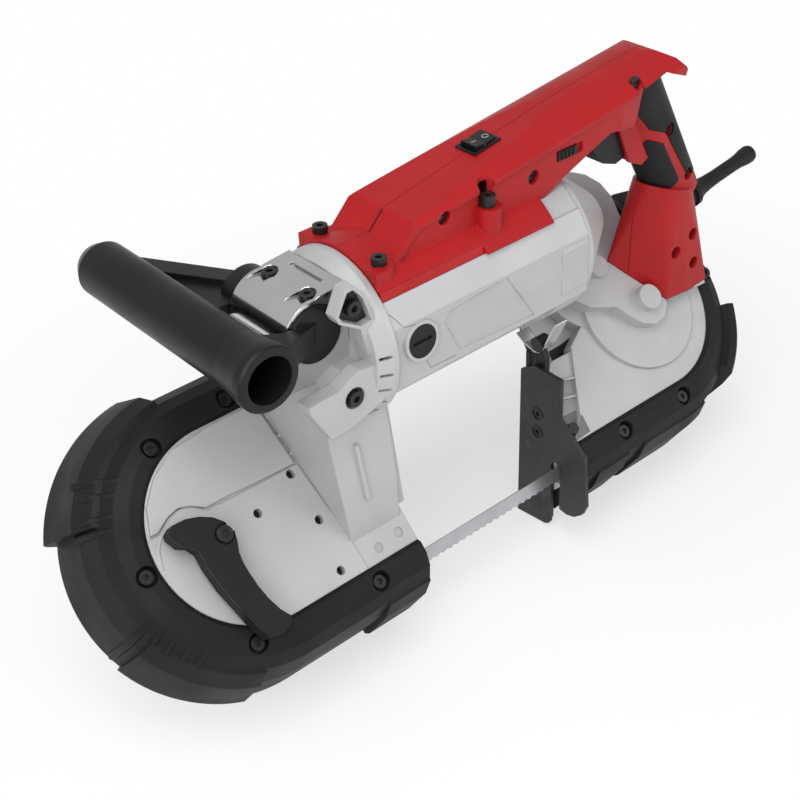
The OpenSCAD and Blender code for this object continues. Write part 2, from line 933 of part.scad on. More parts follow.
module wheel(u, bore) {
  deck()
    translate([u, 0, -blade_drop])
      difference() {
        rotate_extrude()
          difference() {
            polygon([[1, -10], [hub_r, -10], [hub_r, -3], [58, -3], [61, -wheel_w / 2],
              [tyre_inner + 1.2, -wheel_w / 2], [tyre_inner + 1.2, -wheel_w / 2 + 1],
              [tyre_inner, -wheel_w / 2 + 1], [tyre_inner, wheel_w / 2 - 1],
              [tyre_inner + 1.2, wheel_w / 2 - 1], [tyre_inner + 1.2, wheel_w / 2],
              [61, wheel_w / 2], [58, 3], [hub_r, 3], [hub_r, 9], [1, 9]]);
            translate([0, -20])
              square([bore, 40]);
          }
        for (i = [0:5])
          rotate([0, 0, i * 60 + 30])
            translate([38, 0, -10])
              cylinder(r = 12, h = 20);
      }
}

module tyre(u) {
  color([0.1, 0.1, 0.1])
    deck()
      translate([u, 0, -blade_drop])
        rotate_extrude()
          polygon([[tyre_inner, 1 - wheel_w / 2], [tyre_inner, wheel_w / 2 - 1],
            [tyre_outer - 0.3, wheel_w / 2 - 1], [tyre_outer, wheel_w / 2 - 3],
            [tyre_outer, 3 - wheel_w / 2], [tyre_outer - 0.3, 1 - wheel_w / 2]]);
}

module idler_wheel() {
  color([0.75, 0.75, 0.76])
    wheel(0, bearing_r);
}

module drive_wheel() {
  color([0.75, 0.75, 0.76])
    wheel(wheel_gap, axle_r);
}

module idler_tyre() {
  tyre(0);
}

module drive_tyre() {
  tyre(wheel_gap);
}

module bearing(bore, outer, h) {
  rotate_extrude()
    polygon([[bore + run_fit, 0], [outer, 0], [outer, h], [bore + run_fit, h]]);
}

module idler_bearings() {
  color([0.8, 0.8, 0.82])
    deck()
      for (w = [-10, 2])
        translate([0, 0, w - blade_drop])
          bearing(axle_r, bearing_r, 7);
}

module idler_axle() {
  color([0.7, 0.7, 0.72])
    deck()
      union() {
        translate([0, 0, -blade_drop - 11])
          cylinder(r = axle_r, h = blade_drop + 11 - plate_t - slide_t + 5);
        translate([0, 0, -blade_drop - 15])
          cylinder(r = 9, h = 4.5);
      }
}

module tension_slide() {
  color([0.55, 0.55, 0.57])
    deck()
      difference() {
        union() {
          translate([0, 0, -plate_t - slide_t + 2])
            linear_extrude(slide_t - gap)
              translate([-42, -19])
                square([76, 38]);
          translate([28, -8, -plate_t - 8.8])
            cube([6, 16, 7]);
        }
        translate([0, 0, -plate_t - slide_t - 5])
          cylinder(r = axle_r, h = 20);
        translate([lever_u - cam_arm - cam_r - 1.6, lever_v - 9.6, -plate_t - slide_t])
          cube([2 * cam_r + 3.2, 19.2, 20]);
        translate([lever_u, lever_v, -plate_t - slide_t])
          linear_extrude(20)
            translate([-slide_travel - axle_r - 1, -axle_r - 1])
              square([slide_travel + 2 * axle_r + 2, 2 * axle_r + 2]);
      }
}

module tension_lever() {
  color([0.13, 0.13, 0.13])
    deck()
      union() {
        difference() {
          translate([0, 0, 4])
            linear_extrude(11)
              polygon(lever_outline);
          for (z = [6.5, 10.5])
            translate([0, 0, z])
              linear_extrude(1.6)
                difference() {
                  polygon(lever_outline);
                  translate([1.4, 0])
                    polygon(lever_outline);
                }
          translate([lever_u, lever_v, 13.5])
            cylinder(r = 6, h = 3);
        }
        translate([lever_u, lever_v, -plate_t])
          cylinder(r = axle_r, h = plate_t + 5);
        translate([lever_u, lever_v, -plate_t - 1.2])
          cylinder(r = axle_r, h = 1.4);
        translate([lever_u - cam_arm, lever_v, -plate_t - slide_t])
          cylinder(r = cam_r, h = slide_t - 1);
      }
}

module lever_screw() {
  color([0.6, 0.6, 0.62])
    deck()
      translate([lever_u, lever_v, 13.5])
        difference() {
          cylinder(r = 5, h = 2.5);
          translate([0, 0, 1])
            cylinder(r = 2.5, h = 2, $fn = 6);
        }
}

// Coil between the slide and the frame, wound along the blade
function coil_point(i, j, r, wire, turns, length) =
  let (a = i * 20, b = j * 60, s = i * 20 / 360 / turns * length)
  [s + wire * sin(b), (r + wire * cos(b)) * cos(a), (r + wire * cos(b)) * sin(a)];

module coil(r, wire, turns, length) {
  steps = turns * 18;
  points = [for (i = [0:steps]) for (j = [0:5]) coil_point(i, j, r, wire, turns, length)];
  sides = [for (i = [0:steps - 1]) for (j = [0:5])
    [i * 6 + j, i * 6 + (j + 1) % 6, i * 6 + 6 + (j + 1) % 6, i * 6 + 6 + j]];
  split = [for (f = sides) for (k = [0, 1]) [f[0], f[k + 1], f[k + 2]]];
  ends = [[5, 4, 3, 2, 1, 0], [for (j = [0:5]) steps * 6 + j]];
  polyhedron(points = points, faces = concat(split, ends));
}

module tension_spring() {
  color([0.6, 0.6, 0.62])
    deck()
      translate([34.9, 0, -plate_t - 4.3])
        coil(3.2, 0.8, 9, idler_run - rim_wall - 35.8);
}

module drive_shaft() {
  color([0.7, 0.7, 0.72])
    deck()
      translate([wheel_gap, 0, 0])
        union() {
          translate([0, 0, -blade_drop - 11])
            cylinder(r = axle_r, h = blade_drop + 11 + 5);
          translate([0, 0, -blade_drop - 15])
            cylinder(r = 10, h = 4.9);
        }
}

module spur(teeth, width, bore) {
  pitch = gear_module * teeth / 2;
  linear_extrude(width)
    difference() {
      union() {
        circle(pitch - 1.2 * gear_module);
        for (i = [0:teeth - 1])
          rotate(i * 360 / teeth)
            polygon([[pitch - 1.4 * gear_module, -1.05 * gear_module],
              [pitch + 0.8 * gear_module, -0.35 * gear_module],
              [pitch + 0.8 * gear_module, 0.35 * gear_module],
              [pitch - 1.4 * gear_module, 1.05 * gear_module]]);
      }
      circle(bore);
    }
}

module output_gear() {
  color([0.6, 0.58, 0.5])
    deck()
      translate([wheel_gap, 0, low_gear_w])
        rotate([0, 0, train_angle])
          spur(output_teeth, low_gear_h, axle_r);
}

module drive_bearings() {
  color([0.8, 0.8, 0.82])
    deck()
      translate([wheel_gap, 0, 0])
        union() {
          translate([0, 0, gear_roof])
            bearing(axle_r, bearing_r, 8);
          translate([0, 0, case_bottom - 2.5])
            bearing(axle_r, bearing_r, 2.5);
        }
}

module intermediate_gear() {
  color([0.6, 0.58, 0.5])
    deck()
      translate([mid_u, mid_v, 0])
        union() {
          translate([0, 0, low_gear_w])
            rotate([0, 0, train_angle + 180 + 180 / small_teeth])
              spur(small_teeth, low_gear_h + 2, 1);
          translate([0, 0, high_gear_w])
            rotate([0, 0, bevel_angle])
              spur(large_teeth, high_gear_h, 1);
          translate([0, 0, case_bottom - 2])
            cylinder(r = mid_shaft_r, h = 14 - case_bottom - 5);
        }
}

module bevel_gear() {
  color([0.6, 0.58, 0.5])
    deck()
      translate([bevel_u, motor_v, 0])
        union() {
          translate([0, 0, high_gear_w])
            rotate([0, 0, bevel_angle + 180 + 180 / pinion_teeth])
              spur(pinion_teeth, high_gear_h, 1);
          translate([0, 0, case_bottom - 2])
            cylinder(r = shaft_r, h = motor_w - bevel_pinion_r - 6 - case_bottom);
          translate([0, 0, motor_w - bevel_pinion_r - 12])
            difference() {
              union() {
                cylinder(r = bevel_r, h = 8);
                translate([0, 0, 8])
                  cylinder(r1 = bevel_r, r2 = bevel_r - 6, h = 6 * motor_teeth / bevel_teeth);
              }
              for (i = [0:bevel_teeth - 1])
                rotate([0, 0, (i + 0.5) * 360 / bevel_teeth])
                  translate([bevel_r - 6, -0.45, 8.4])
                    rotate([0, 16, 0])
                      cube([9, 0.9, 3]);
            }
        }
}

module armature() {
  color([0.55, 0.5, 0.45])
    union() {
      motor_line(73.5)
        cylinder(r = shaft_r, h = bevel_u - 73.5 - bevel_r - 5);
      motor_line(96)
        cylinder(r = 14, h = 16);
      motor_line(stator_x0)
        cylinder(r = 24, h = stator_x1 - stator_x0);
      motor_line(stator_x0 - 5)
        cylinder(r = 20, h = stator_x1 - stator_x0 + 10);
      difference() {
        motor_line(bevel_u - bevel_r - 6)
          cylinder(r1 = bevel_pinion_r + 0.5, r2 = bevel_pinion_r - 1.2, h = 5);
        for (i = [0:motor_teeth - 1])
          motor_line(bevel_u - bevel_r - 7)
            rotate([0, 0, (i + 0.5) * 360 / motor_teeth])
              translate([bevel_pinion_r - 1.3, -0.5, 0])
                cube([3, 1, 9]);
      }
    }
}

module motor_fan() {
  color([0.8, 0.78, 0.7])
    difference() {
      union() {
        motor_line(204)
          cylinder(r = 36, h = 2);
        for (i = [0:11])
          motor_line(195)
            rotate([0, 0, i * 30])
              translate([12, -0.8, 0])
                cube([23, 1.6, 10]);
        motor_line(195)
          cylinder(r = 10, h = 11);
      }
      motor_line(190)
        cylinder(r = shaft_r, h = 30);
    }
}

module motor_stator() {
  color([0.45, 0.4, 0.35])
    difference() {
      union() {
        motor_line(stator_x0)
          cylinder(r = barrel_r - barrel_wall, h = stator_x1 - stator_x0);
        motor_line(stator_x0 - 8)
          cylinder(r = 38, h = stator_x1 - stator_x0 + 16);
      }
      motor_line(stator_x0 - 20)
        cylinder(r = 25, h = 100);
    }
}

module motor_bearings() {
  color([0.8, 0.8, 0.82])
    union() {
      motor_line(73)
        bearing(shaft_r, bearing_r, 7);
      motor_line(barrel_x1)
        bearing(shaft_r, bearing_r, 6);
    }
}

// The blade loop, drawn tooth by tooth: it lies flat on the wheels and stands upright between
// the guides, so each cross-section is turned about the line of the cutting strand
function ease(t) = t * t * (3 - 2 * t);

function blade_twist(s) =
  s > wheel_gap ? 0 :
  s < twist_run ? wheel_tilt * ease(s / twist_run) :
  s > wheel_gap - twist_run ? wheel_tilt * ease((wheel_gap - s) / twist_run) : wheel_tilt;

function blade_turn(s) =
  let (arc = PI * wheel_r)
  s <= wheel_gap ? 0 :
  s <= wheel_gap + arc ? (s - wheel_gap) / wheel_r * 180 / PI :
  s <= 2 * wheel_gap + arc ? 180 : 180 + (s - 2 * wheel_gap - arc) / wheel_r * 180 / PI;

function blade_centre(s) =
  let (arc = PI * wheel_r, a = blade_turn(s))
  s <= wheel_gap ? [s, -wheel_r, 0] :
  s <= wheel_gap + arc ? [wheel_gap + wheel_r * sin(a), -wheel_r * cos(a), 0] :
  s <= 2 * wheel_gap + arc ? [2 * wheel_gap + arc - s, wheel_r, 0] :
  [wheel_r * sin(a), -wheel_r * cos(a), 0];

function blade_section(s, depth) =
  let (c = blade_centre(s), a = blade_turn(s), t = blade_twist(s), h = blade_w / 2,
    out = [sin(a) * cos(t), -cos(a) * cos(t), sin(t)],
    side = [-sin(a) * sin(t), cos(a) * sin(t), cos(t)])
  [c + side * h + out * blade_t / 2, c + side * h - out * blade_t / 2,
    c - side * (h - depth) - out * blade_t / 2, c - side * (h - depth) + out * blade_t / 2];

module saw_blade() {
  cuts = [for (i = [0:teeth_count - 1]) for (k = [0, 1]) [(i + k * 0.4) * tooth_step, k * tooth_h]];
  sections = [for (c = cuts) blade_section(c[0], c[1])];
  n = len(sections);
  points = [for (s = sections) for (p = s) p];
  sides = [for (i = [0:n - 1]) for (j = [0:3])
    [i * 4 + j, (i * 4 + 4) % (4 * n) + j, (i * 4 + 4) % (4 * n) + (j + 1) % 4, i * 4 + (j + 1) % 4]];
  faces = [for (f = sides) for (k = [0, 1]) [f[0], f[k + 1], f[k + 2]]];
  color([0.6, 0.61, 0.63])
    deck()
      translate([0, 0, -blade_drop])
        polyhedron(points = points, faces = faces);
}

module guide(x, side) {
  color([0.3, 0.3, 0.31])
    translate([x - idler_to_stop, 0, 0])
      mirror([side, 0, 0])
        union() {
          intersection() {
            translate([-guide_half, guide_y, -2])
              cube([2 * guide_half, 4, 60]);
            deck_block(x, side);
          }
          translate([-guide_half, -8, blade_w / 2 + 0.8])
            cube([guide_half - 2.5, guide_y + 10, 3.5]);
          for (s = [-1, 1])
            translate([-side_roller_dx, s * (roller_r + blade_t / 2 + guide_gap), -0.8])
              cylinder(r = pin_r, h = blade_w / 2 + 3);
          translate([back_roller_dx, guide_y + 1, blade_w / 2 + back_roller_r + guide_gap])
            rotate([90, 0, 0])
              cylinder(r = pin_r, h = guide_y + 6);
        }
}

// Everything under the cover plates, as seen by a guide that is being placed
module deck_block(x, side) {
  mirror([side, 0, 0])
    translate([-x, tool_y, tool_z])
      rotate([wheel_tilt, 0, 0])
        translate([x - 40, -100, -100 - plate_t])
          cube([80, 200, 100]);
}

module front_guide() {
  guide(front_guide_x, 0);
}

module rear_guide() {
  guide(rear_guide_x, 1);
}

module side_roller(x, side) {
  color([0.75, 0.75, 0.77])
    translate([x - idler_to_stop, side * (roller_r + blade_t / 2 + guide_gap), -0.5])
      bearing(pin_r, roller_r, 6.5);
}

module roller_1() {
  side_roller(front_guide_x - side_roller_dx, -1);
}

module roller_2() {
  side_roller(front_guide_x - side_roller_dx, 1);
}

module roller_3() {
  side_roller(rear_guide_x + side_roller_dx, -1);
}

module roller_4() {
  side_roller(rear_guide_x + side_roller_dx, 1);
}

module back_roller(x) {
  color([0.75, 0.75, 0.77])
    translate([x - idler_to_stop, 4, blade_w / 2 + back_roller_r + guide_gap])
      rotate([90, 0, 0])
        bearing(pin_r, back_roller_r, 8);
}

module back_roller_1() {
  back_roller(front_guide_x + back_roller_dx);
}

module back_roller_2() {
  back_roller(rear_guide_x - back_roller_dx);
}

module work_stop() {
  color([0.2, 0.2, 0.21])
    difference() {
      tool()
        translate([idler_to_stop, 0, 0])
          rotate([90, 0, 90])
            linear_extrude(stop_t)
              difference() {
                polygon(stop_outline);
                translate([-tool_y - slot_w / 2, -130])
                  square([slot_w, 60]);
                translate([-tool_y, -70])
                  circle(slot_w / 2 + 0.8);
                translate([-tool_y - slot_w / 2, -130])
                  square([slot_w + 1, 14]);
              }
      stop_screw_holes();
      for (z = stop_screw_z)
        tool()
          translate([idler_to_stop - 0.01, -11, z])
            rotate([0, 90, 0])
              cylinder(r1 = 4.6, r2 = screw_r, h = 2.4);
    }
}

module stop_screws() {
  color([0.15, 0.15, 0.16])
    for (z = stop_screw_z)
      tool()
        translate([idler_to_stop, -11, z])
          rotate([0, 90, 0])
            difference() {
              union() {
                translate([0, 0, 0.1])
                  cylinder(r1 = 4.4, r2 = screw_r - 0.1, h = 2.3);
                translate([0, 0, 0.1])
                  cylinder(r = screw_r - 0.1, h = 11);
              }
              translate([0, 0, -0.5])
                cylinder(r = 2, h = 2, $fn = 6);
            }
}

module handle_axes() {
  tool()
    translate([hub_x, barrel_y, hub_z])
      rotate([0, atan2(grip_z - hub_z, hub_x - grip_x), 0])
        children();
}

module front_handle() {
  reach = sqrt(pow(hub_x - grip_x, 2) + pow(grip_z - hub_z, 2));
  near = grip_near - barrel_y;
  color([0.12, 0.12, 0.12])
    handle_axes()
      difference() {
        union() {
          translate([0, -hub_half, 0])
            rotate([-90, 0, 0])
              cylinder(r = hub_bar_r, h = 2 * hub_half);
          translate([-reach, near, 0])
            rotate([-90, 0, 0])
              rotate_extrude()
                polygon([[0, 0], [18, 0], [19.4, 1.6], [19.4, 6], [grip_r + 1, 15], [grip_r, 26], [grip_r, grip_len - 10],
                  [grip_r - 4, grip_len - 2], [grip_r - 9, grip_len], [0, grip_len]]);
          translate([0, 0, -8])
            linear_extrude(16)
              polygon([[0, -hub_half], [-reach, near + 2], [-reach, -18], [-34, -20], [-23, -26], [-12, -26]]);
          translate([0, 0, -7])
            linear_extrude(14)
              polygon([[4, hub_half + 2], [-reach, grip_len + near - 22], [-reach, grip_len + near - 6],
                [-reach + 8, grip_len + near - 8], [12, hub_half + 14], [14, hub_half], [10, hub_half - 1]]);
          translate([0, hub_half, 0])
            rotate([-90, 0, 0])
              cylinder(r = hub_bar_r, h = 12);
        }
        translate([-reach, near - 1, 0])
          rotate([-90, 0, 0])
            cylinder(r = 14, h = 46);
      }
}

module handle_clamp() {
  color([0.85, 0.85, 0.86])
    difference() {
      union() {
        tool()
          translate([hub_x, barrel_y + clamp_half, hub_z])
            rotate([90, 0, 0])
              cylinder(r = hub_bar_r + clamp_wall, h = 2 * clamp_half);
        tool()
          translate([0, barrel_y + clamp_half, 0])
            rotate([90, 0, 0])
              linear_extrude(2 * clamp_half)
                polygon([[hub_x - 1, hub_z], [hub_x - 1, hub_z + hub_bar_r + 2],
                  [hub_x + 6, hub_z + hub_bar_r + 4.5], [70.7, hub_z + 23], [70.7, hub_z]]);
      }
      tool()
        translate([hub_x, barrel_y + clamp_half + 1, hub_z])
          rotate([90, 0, 0])
            cylinder(r = hub_bar_r + run_fit, h = 2 * clamp_half + 2);
      tool()
        translate([0, barrel_y - 60, hub_z + gap - 60])
          cube([100, 120, 60]);
      for (s = [-1, 1])
        tool()
          translate([50.5, barrel_y + s * 17, clamp_seat])
            union() {
              cylinder(r = 5.4, h = 20);
              translate([-12, -5.4, 0.6])
                cube([12, 10.8, 20]);
              translate([0, 0, -8])
                cylinder(r = screw_r, h = 9);
            }
      tool()
        translate([61.5, barrel_y - 14, hub_z + 20])
          cube([2.6, 28, 6]);
    }
}

module clamp_screws() {
  color([0.15, 0.15, 0.16])
    for (s = [-1, 1])
      tool()
        translate([50.5, barrel_y + s * 17, clamp_seat])
          difference() {
            union() {
              cylinder(r = 4.6, h = 3);
              translate([0, 0, -1])
                cylinder(r = screw_r, h = 1.8);
            }
            translate([0, 0, 1.2])
              cylinder(r = 2.2, h = 4, $fn = 6);
          }
}

module base_plate() {
  intersection() {
    motor_line(84.5)
      cylinder(r = base_r, h = 131.5);
    tool()
      union() {
        translate([84, barrel_y - 39, 130.5])
          cube([80, 78, 20]);
        translate([162, barrel_y - 42, 125.5])
          cube([60, 84, 20]);
      }
  }
  for (s = [-1, 1])
    tool()
      translate([0, barrel_y + s * 26, 0])
        union() {
          translate([94, 0, 124])
            cylinder(r = 8.5, h = flange_top - 124);
          translate([84.5, -8.5, 124])
            cube([9.5, 17, flange_top - 124]);
          translate([94, -s * 12 - 8.5, 124])
            cube([14, 17, flange_top - 126]);
          translate([174, s * 3, 124])
            cylinder(r = 8, h = 24);
        }
}

module leg_line(grow) {
  tool()
    translate([357, barrel_y, 110])
      rotate([0, -leg_lean, 0])
        translate([0, 0, -40])
          linear_extrude(115)
            union() {
              translate([-leg_flat, 0])
                circle(leg_r + grow);
              translate([leg_flat, 0])
                circle(leg_r + grow);
              square([2 * leg_flat, 2 * (leg_r + grow)], center = true);
            }
}

module leg_room() {
  tool()
    translate([357, barrel_y, 110])
      rotate([0, -leg_lean, 0])
        translate([0, 0, -12])
          cylinder(r = leg_r - shell_wall - 1.5, h = 74);
}

module crown(r) {
  tool()
    translate([123, barrel_y, 154])
      rotate([0, -6.56, 0])
        translate([-50, 0, -29])
          rotate([0, 90, 0])
            cylinder(r = r, h = 300, $fn = 144);
}

// Seen from above, the handle tapers from its full width to a round nose
module cap_plan(inset) {
  half = cap_half - inset;
  r = nose_r - inset;
  turn = atan2(half, taper_x - nose_x) - acos(r / norm([taper_x - nose_x, half]));
  tool()
    translate([0, barrel_y, 90])
      linear_extrude(130)
        union() {
          polygon([[60, -half], [taper_x, -half], [nose_x + r * cos(turn), -r * sin(turn)],
            [nose_x + r * cos(turn), r * sin(turn)], [taper_x, half], [60, half]]);
          translate([nose_x, 0])
            circle(r, $fn = 96);
        }
}

// The crowned bar over the motor
module handle_cap() {
  intersection() {
    side_slab(cap_half)
      polygon(cap_side);
    crown(crown_r);
    cap_plan(0);
  }
}

module handle_band() {
  intersection() {
    side_slab(band_half)
      polygon(band_side);
    cap_plan(cap_half - band_half);
    tool()
      translate([0, barrel_y, 90])
        union() {
          translate([60, -band_half, 0])
            cube([240, 2 * band_half, 120]);
          translate([300, 0, 0])
            cylinder(r = band_half, h = 120, $fn = 96);
        }
  }
}

module mount_lug() {
  hull() {
    deck()
      translate([0, 0, 12])
        linear_extrude(1)
          polygon(mount_foot);
    tool()
      translate([365, barrel_y, 82])
        rotate([0, 17.7, 0])
          scale([1, 0.76, 1])
            cylinder(r = 24, h = 2, $fn = 40);
  }
}

module pad_slabs() {
  side_slab(40)
    union() {
      polygon(pad_high);
      polygon(pad_low);
    }
}

module handle_body() {
  difference() {
    union() {
      handle_cap();
      handle_band();
      side_slab(10)
        polygon(hump_side);
      difference() {
        leg_line(0);
        difference() {
          pad_slabs();
          leg_line(-1.5);
        }
      }
      mount_lug();
      base_plate();
    }
    intersection() {
      side_slab(cap_half)
        polygon(band_room);
      crown(crown_r - shell_wall);
      cap_plan(cap_half - band_half + shell_wall);
    }
    leg_room();
    barrel_body(60, barrel_x1 - 60);
    motor_line(60)
      cylinder(r = bell_r + gap, h = 24.5);
    motor_line(barrel_x1 - 1)
      cylinder(r = barrel_r + 1, h = 12);
    housing_collar(gap);
    tool()
      translate([278, barrel_y - 7.3, 110])
        cube([46, 14.6, 54]);
    rocker_place()
      translate([-9.9, -7.8, -11])
        cube([19.8, 15.6, 20]);
    tool()
      translate([232.5, barrel_y - band_half - 1, 153.9])
        cube([22, 3, 6.6]);
    cord_line()
      union() {
        translate([0, 0, -14])
          cylinder(r = 8, h = 30);
        translate([0, 0, 1])
          cylinder(r = 10.3, h = 30);
      }
    deck()
      translate([wheel_gap, 0, 0])
        cylinder(r = 9 + gap, h = 21);
    flange_holes();
    shell_screw_holes();
  }
}

module grip_pads() {
  color([0.1, 0.1, 0.1])
    difference() {
      intersection() {
        leg_line(0.4);
        pad_slabs();
      }
      leg_line(-1.5);
      handle_cap();
      handle_band();
      side_slab(10)
        polygon(hump_side);
      mount_lug();
      shell_screw_holes();
    }
}

module flange_holes() {
  for (s = [-1, 1]) {
    tool()
      translate([94, barrel_y + s * 26, 100])
        cylinder(r = screw_r, h = 60);
    tool()
      translate([174, barrel_y + s * 29, 148])
        cylinder(r = 6, h = 40);
    tool()
      translate([174, barrel_y + s * 29, 136])
        cylinder(r = screw_r, h = 20);
  }
}

module socket_screw(h) {
  difference() {
    union() {
      cylinder(r = 4.5, h = h);
      translate([0, 0, -6])
        cylinder(r = screw_r, h = 6.5);
    }
    translate([0, 0, h - 2.5])
      cylinder(r = 2.1, h = 4, $fn = 6);
  }
}

module flange_screws() {
  color([0.15, 0.15, 0.16])
    for (s = [-1, 1]) {
      tool()
        translate([94, barrel_y + s * 26, flange_top])
          socket_screw(4.5);
      tool()
        translate([174, barrel_y + s * 29, 148])
          socket_screw(7);
    }
}

// Each shell screw's x and height, and how deep its head sits from the middle
// Place along and above the tool, depth of the head and reach of the tail of each
shell_points = [[306, 180, 22, 9], [213, 151, 24.5, 9], [142, 151.5, 24.5, 9], [350, 132.5, 13, 9],
  [373, 92.5, 12.5, 9], [378, 46, 14, 9], [361, 38, 12, 6], [380, 23, 14, -6]];

module shell_screw_holes() {
  for (p = shell_points) {
    side_pin(p[0], p[1], screw_r, barrel_y - p[2] - 1, barrel_y + p[3] + 1);
    side_pin(p[0], p[1], 4.4, barrel_y - 45, barrel_y - p[2] + 2);
  }
}

module shell_screws() {
  color([0.2, 0.2, 0.2])
    for (p = shell_points)
      difference() {
        union() {
          side_pin(p[0], p[1], screw_r, barrel_y - p[2] + 1, barrel_y + p[3]);
          side_pin(p[0], p[1], 3.8, barrel_y - p[2], barrel_y - p[2] + 2);
        }
        tool()
          translate([p[0] - 2.5, barrel_y - p[2] - 0.5, p[1] - 0.5])
            cube([5, 1.3, 1]);
      }
}

module handle_shell_left() {
  color([0.6, 0.12, 0.13])
    intersection() {
      handle_body();
      tool()
        translate([0, barrel_y - 100, -50])
          cube([500, 100, 300]);
    }
}

module handle_shell_right() {
  color([0.6, 0.12, 0.13])
    intersection() {
      handle_body();
      tool()
        translate([0, barrel_y, -50])
          cube([500, 100, 300]);
    }
}

module trigger() {
  color([0.1, 0.1, 0.1])
    side_slab(7)
      polygon(trigger_outline);
}

module trigger_switch() {
  color([0.15, 0.15, 0.16])
    side_slab(9)
      polygon([[285, 166], [301, 171.4], [301, 177.5], [285, 177]]);
}

module rocker_place() {
  tool()
    translate([rocker_x, barrel_y, rocker_z])
      rotate([0, -9.7, 0])
        children();
}

module rocker_bezel() {
  color([0.1, 0.1, 0.1])
    rocker_place()
      difference() {
        union() {
          translate([-10.6, -8.6, 0])
            cube([21.2, 17.2, 1.1]);
          translate([-9.7, -7.6, -7])
            cube([19.4, 15.2, 7.5]);
        }
        translate([-8.8, -6.6, -6])
          cube([17.6, 13.2, 20]);
        translate([0, -7.7, 0])
          rotate([-90, 0, 0])
            cylinder(r = 1.5 + run_fit, h = 15.4);
      }
}

module power_rocker() {
  color([0.1, 0.1, 0.1])
    rocker_place()
      union() {
        rotate([90, 0, 0])
          translate([0, 0, -6.2])
            linear_extrude(12.4)
              polygon([[-7.4, 4], [0, 2.3], [7.9, 1.9], [7.6, -1.5], [2.4, -4], [-2.4, -4], [-7.2, -1]]);
        translate([0, -7.3, 0])
          rotate([-90, 0, 0])
            cylinder(r = 1.5, h = 14.6);
      }
}

module side_lock() {
  color([0.1, 0.1, 0.1])
    tool()
      translate([0, barrel_y - band_half, 0])
        union() {
          translate([233, -0.8, 154.2])
            cube([16, 2.6, 6]);
          for (i = [0:3])
            translate([235.6 + i * 3.2, -1.6, 154.7])
              cube([1.3, 1.5, 5]);
        }
}

module cord_line() {
  tool()
    translate([394, barrel_y, 63])
      rotate([0, 82.3, 0])
        children();
}

module cord_guard() {
  color([0.1, 0.1, 0.1])
    cord_line()
      difference() {
        rotate_extrude()
          polygon([[0, -12], [8, -12], [8, 1], [9.6, 1], [9.6, 5], [7.6, 8], [6.2, 13], [5.4, 20],
            [5, 30], [5, 50], [5.4, 56], [6.2, 61], [6.4, 66], [5.8, 68], [0, 68]]);
        translate([0, 0, -13])
          cylinder(r = 3.4, h = 90);
      }
}

front_frame();
rear_frame();
gear_case();
gear_cover();
motor_housing();
blade_guard();
front_bumper();
rear_bumper();
front_bumper_screws();
rear_bumper_screws();
idler_wheel();
idler_tyre();
idler_bearings();
idler_axle();
tension_slide();
tension_spring();
tension_lever();
lever_screw();
drive_wheel();
drive_tyre();
drive_shaft();
output_gear();
drive_bearings();
intermediate_gear();
bevel_gear();
armature();
motor_fan();
motor_stator();
motor_bearings();
brushes();
brush_caps();
saw_blade();
cover_dowels();
front_guide();
rear_guide();
roller_1();
roller_2();
roller_3();
roller_4();
back_roller_1();
back_roller_2();
work_stop();
stop_screws();
front_handle();
handle_clamp();
clamp_screws();
frame_bolts();
handle_shell_left();
handle_shell_right();
grip_pads();
trigger();
trigger_switch();
power_rocker();
rocker_bezel();
side_lock();
flange_screws();
shell_screws();
cord_guard();
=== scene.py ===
"""A portable band saw, dressed for its picture.

The frame has the blade along X, the motor side towards -Y and the teeth downwards. Blender's lengths are
in metres. New pieces are drawn in millimetres from the idler axle, on one of four drawing planes, and
finish_piece puts them in their place in metres. The wheel covers lean by 45 degrees, so what lies on them
is drawn on the cover's own plane.
"""

import math

import bmesh
import bpy
from mathutils import Matrix, Vector
from mathutils.bvhtree import BVHTree


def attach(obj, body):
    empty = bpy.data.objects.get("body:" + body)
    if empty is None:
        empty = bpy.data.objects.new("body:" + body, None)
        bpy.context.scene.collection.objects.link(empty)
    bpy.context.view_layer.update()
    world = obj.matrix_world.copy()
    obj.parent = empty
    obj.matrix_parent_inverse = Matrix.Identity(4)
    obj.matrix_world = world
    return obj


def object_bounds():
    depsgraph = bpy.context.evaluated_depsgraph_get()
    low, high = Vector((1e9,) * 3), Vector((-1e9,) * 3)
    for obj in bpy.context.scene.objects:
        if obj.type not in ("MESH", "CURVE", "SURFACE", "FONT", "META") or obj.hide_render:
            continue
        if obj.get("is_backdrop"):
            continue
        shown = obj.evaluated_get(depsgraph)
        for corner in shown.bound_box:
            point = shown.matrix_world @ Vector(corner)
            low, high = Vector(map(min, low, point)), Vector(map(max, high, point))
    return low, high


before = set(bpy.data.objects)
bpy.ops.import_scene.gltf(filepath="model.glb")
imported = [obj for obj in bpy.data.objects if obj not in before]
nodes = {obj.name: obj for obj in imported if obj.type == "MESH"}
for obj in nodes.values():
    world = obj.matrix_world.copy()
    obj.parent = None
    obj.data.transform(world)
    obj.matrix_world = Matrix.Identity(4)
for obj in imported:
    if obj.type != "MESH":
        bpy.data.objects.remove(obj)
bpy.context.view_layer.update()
scene = bpy.context.scene

MM = 0.001

# The idler axle, on the face of its cover, from the frame's origin
AXLE = Vector((-229.0, 29.08, 75.75)) * MM

# The drawing planes: level, on the cover's face, square to the saw's width, and across its length
LEVEL = Matrix.Translation(AXLE)
COVER = LEVEL @ Matrix.Rotation(math.radians(45), 4, "X")
SIDE = LEVEL @ Matrix.Rotation(math.radians(90), 4, "X")
ACROSS = LEVEL @ Matrix(((0, 0, 1, 0), (1, 0, 0, 0), (0, 1, 0, 0), (0, 0, 0, 1)))

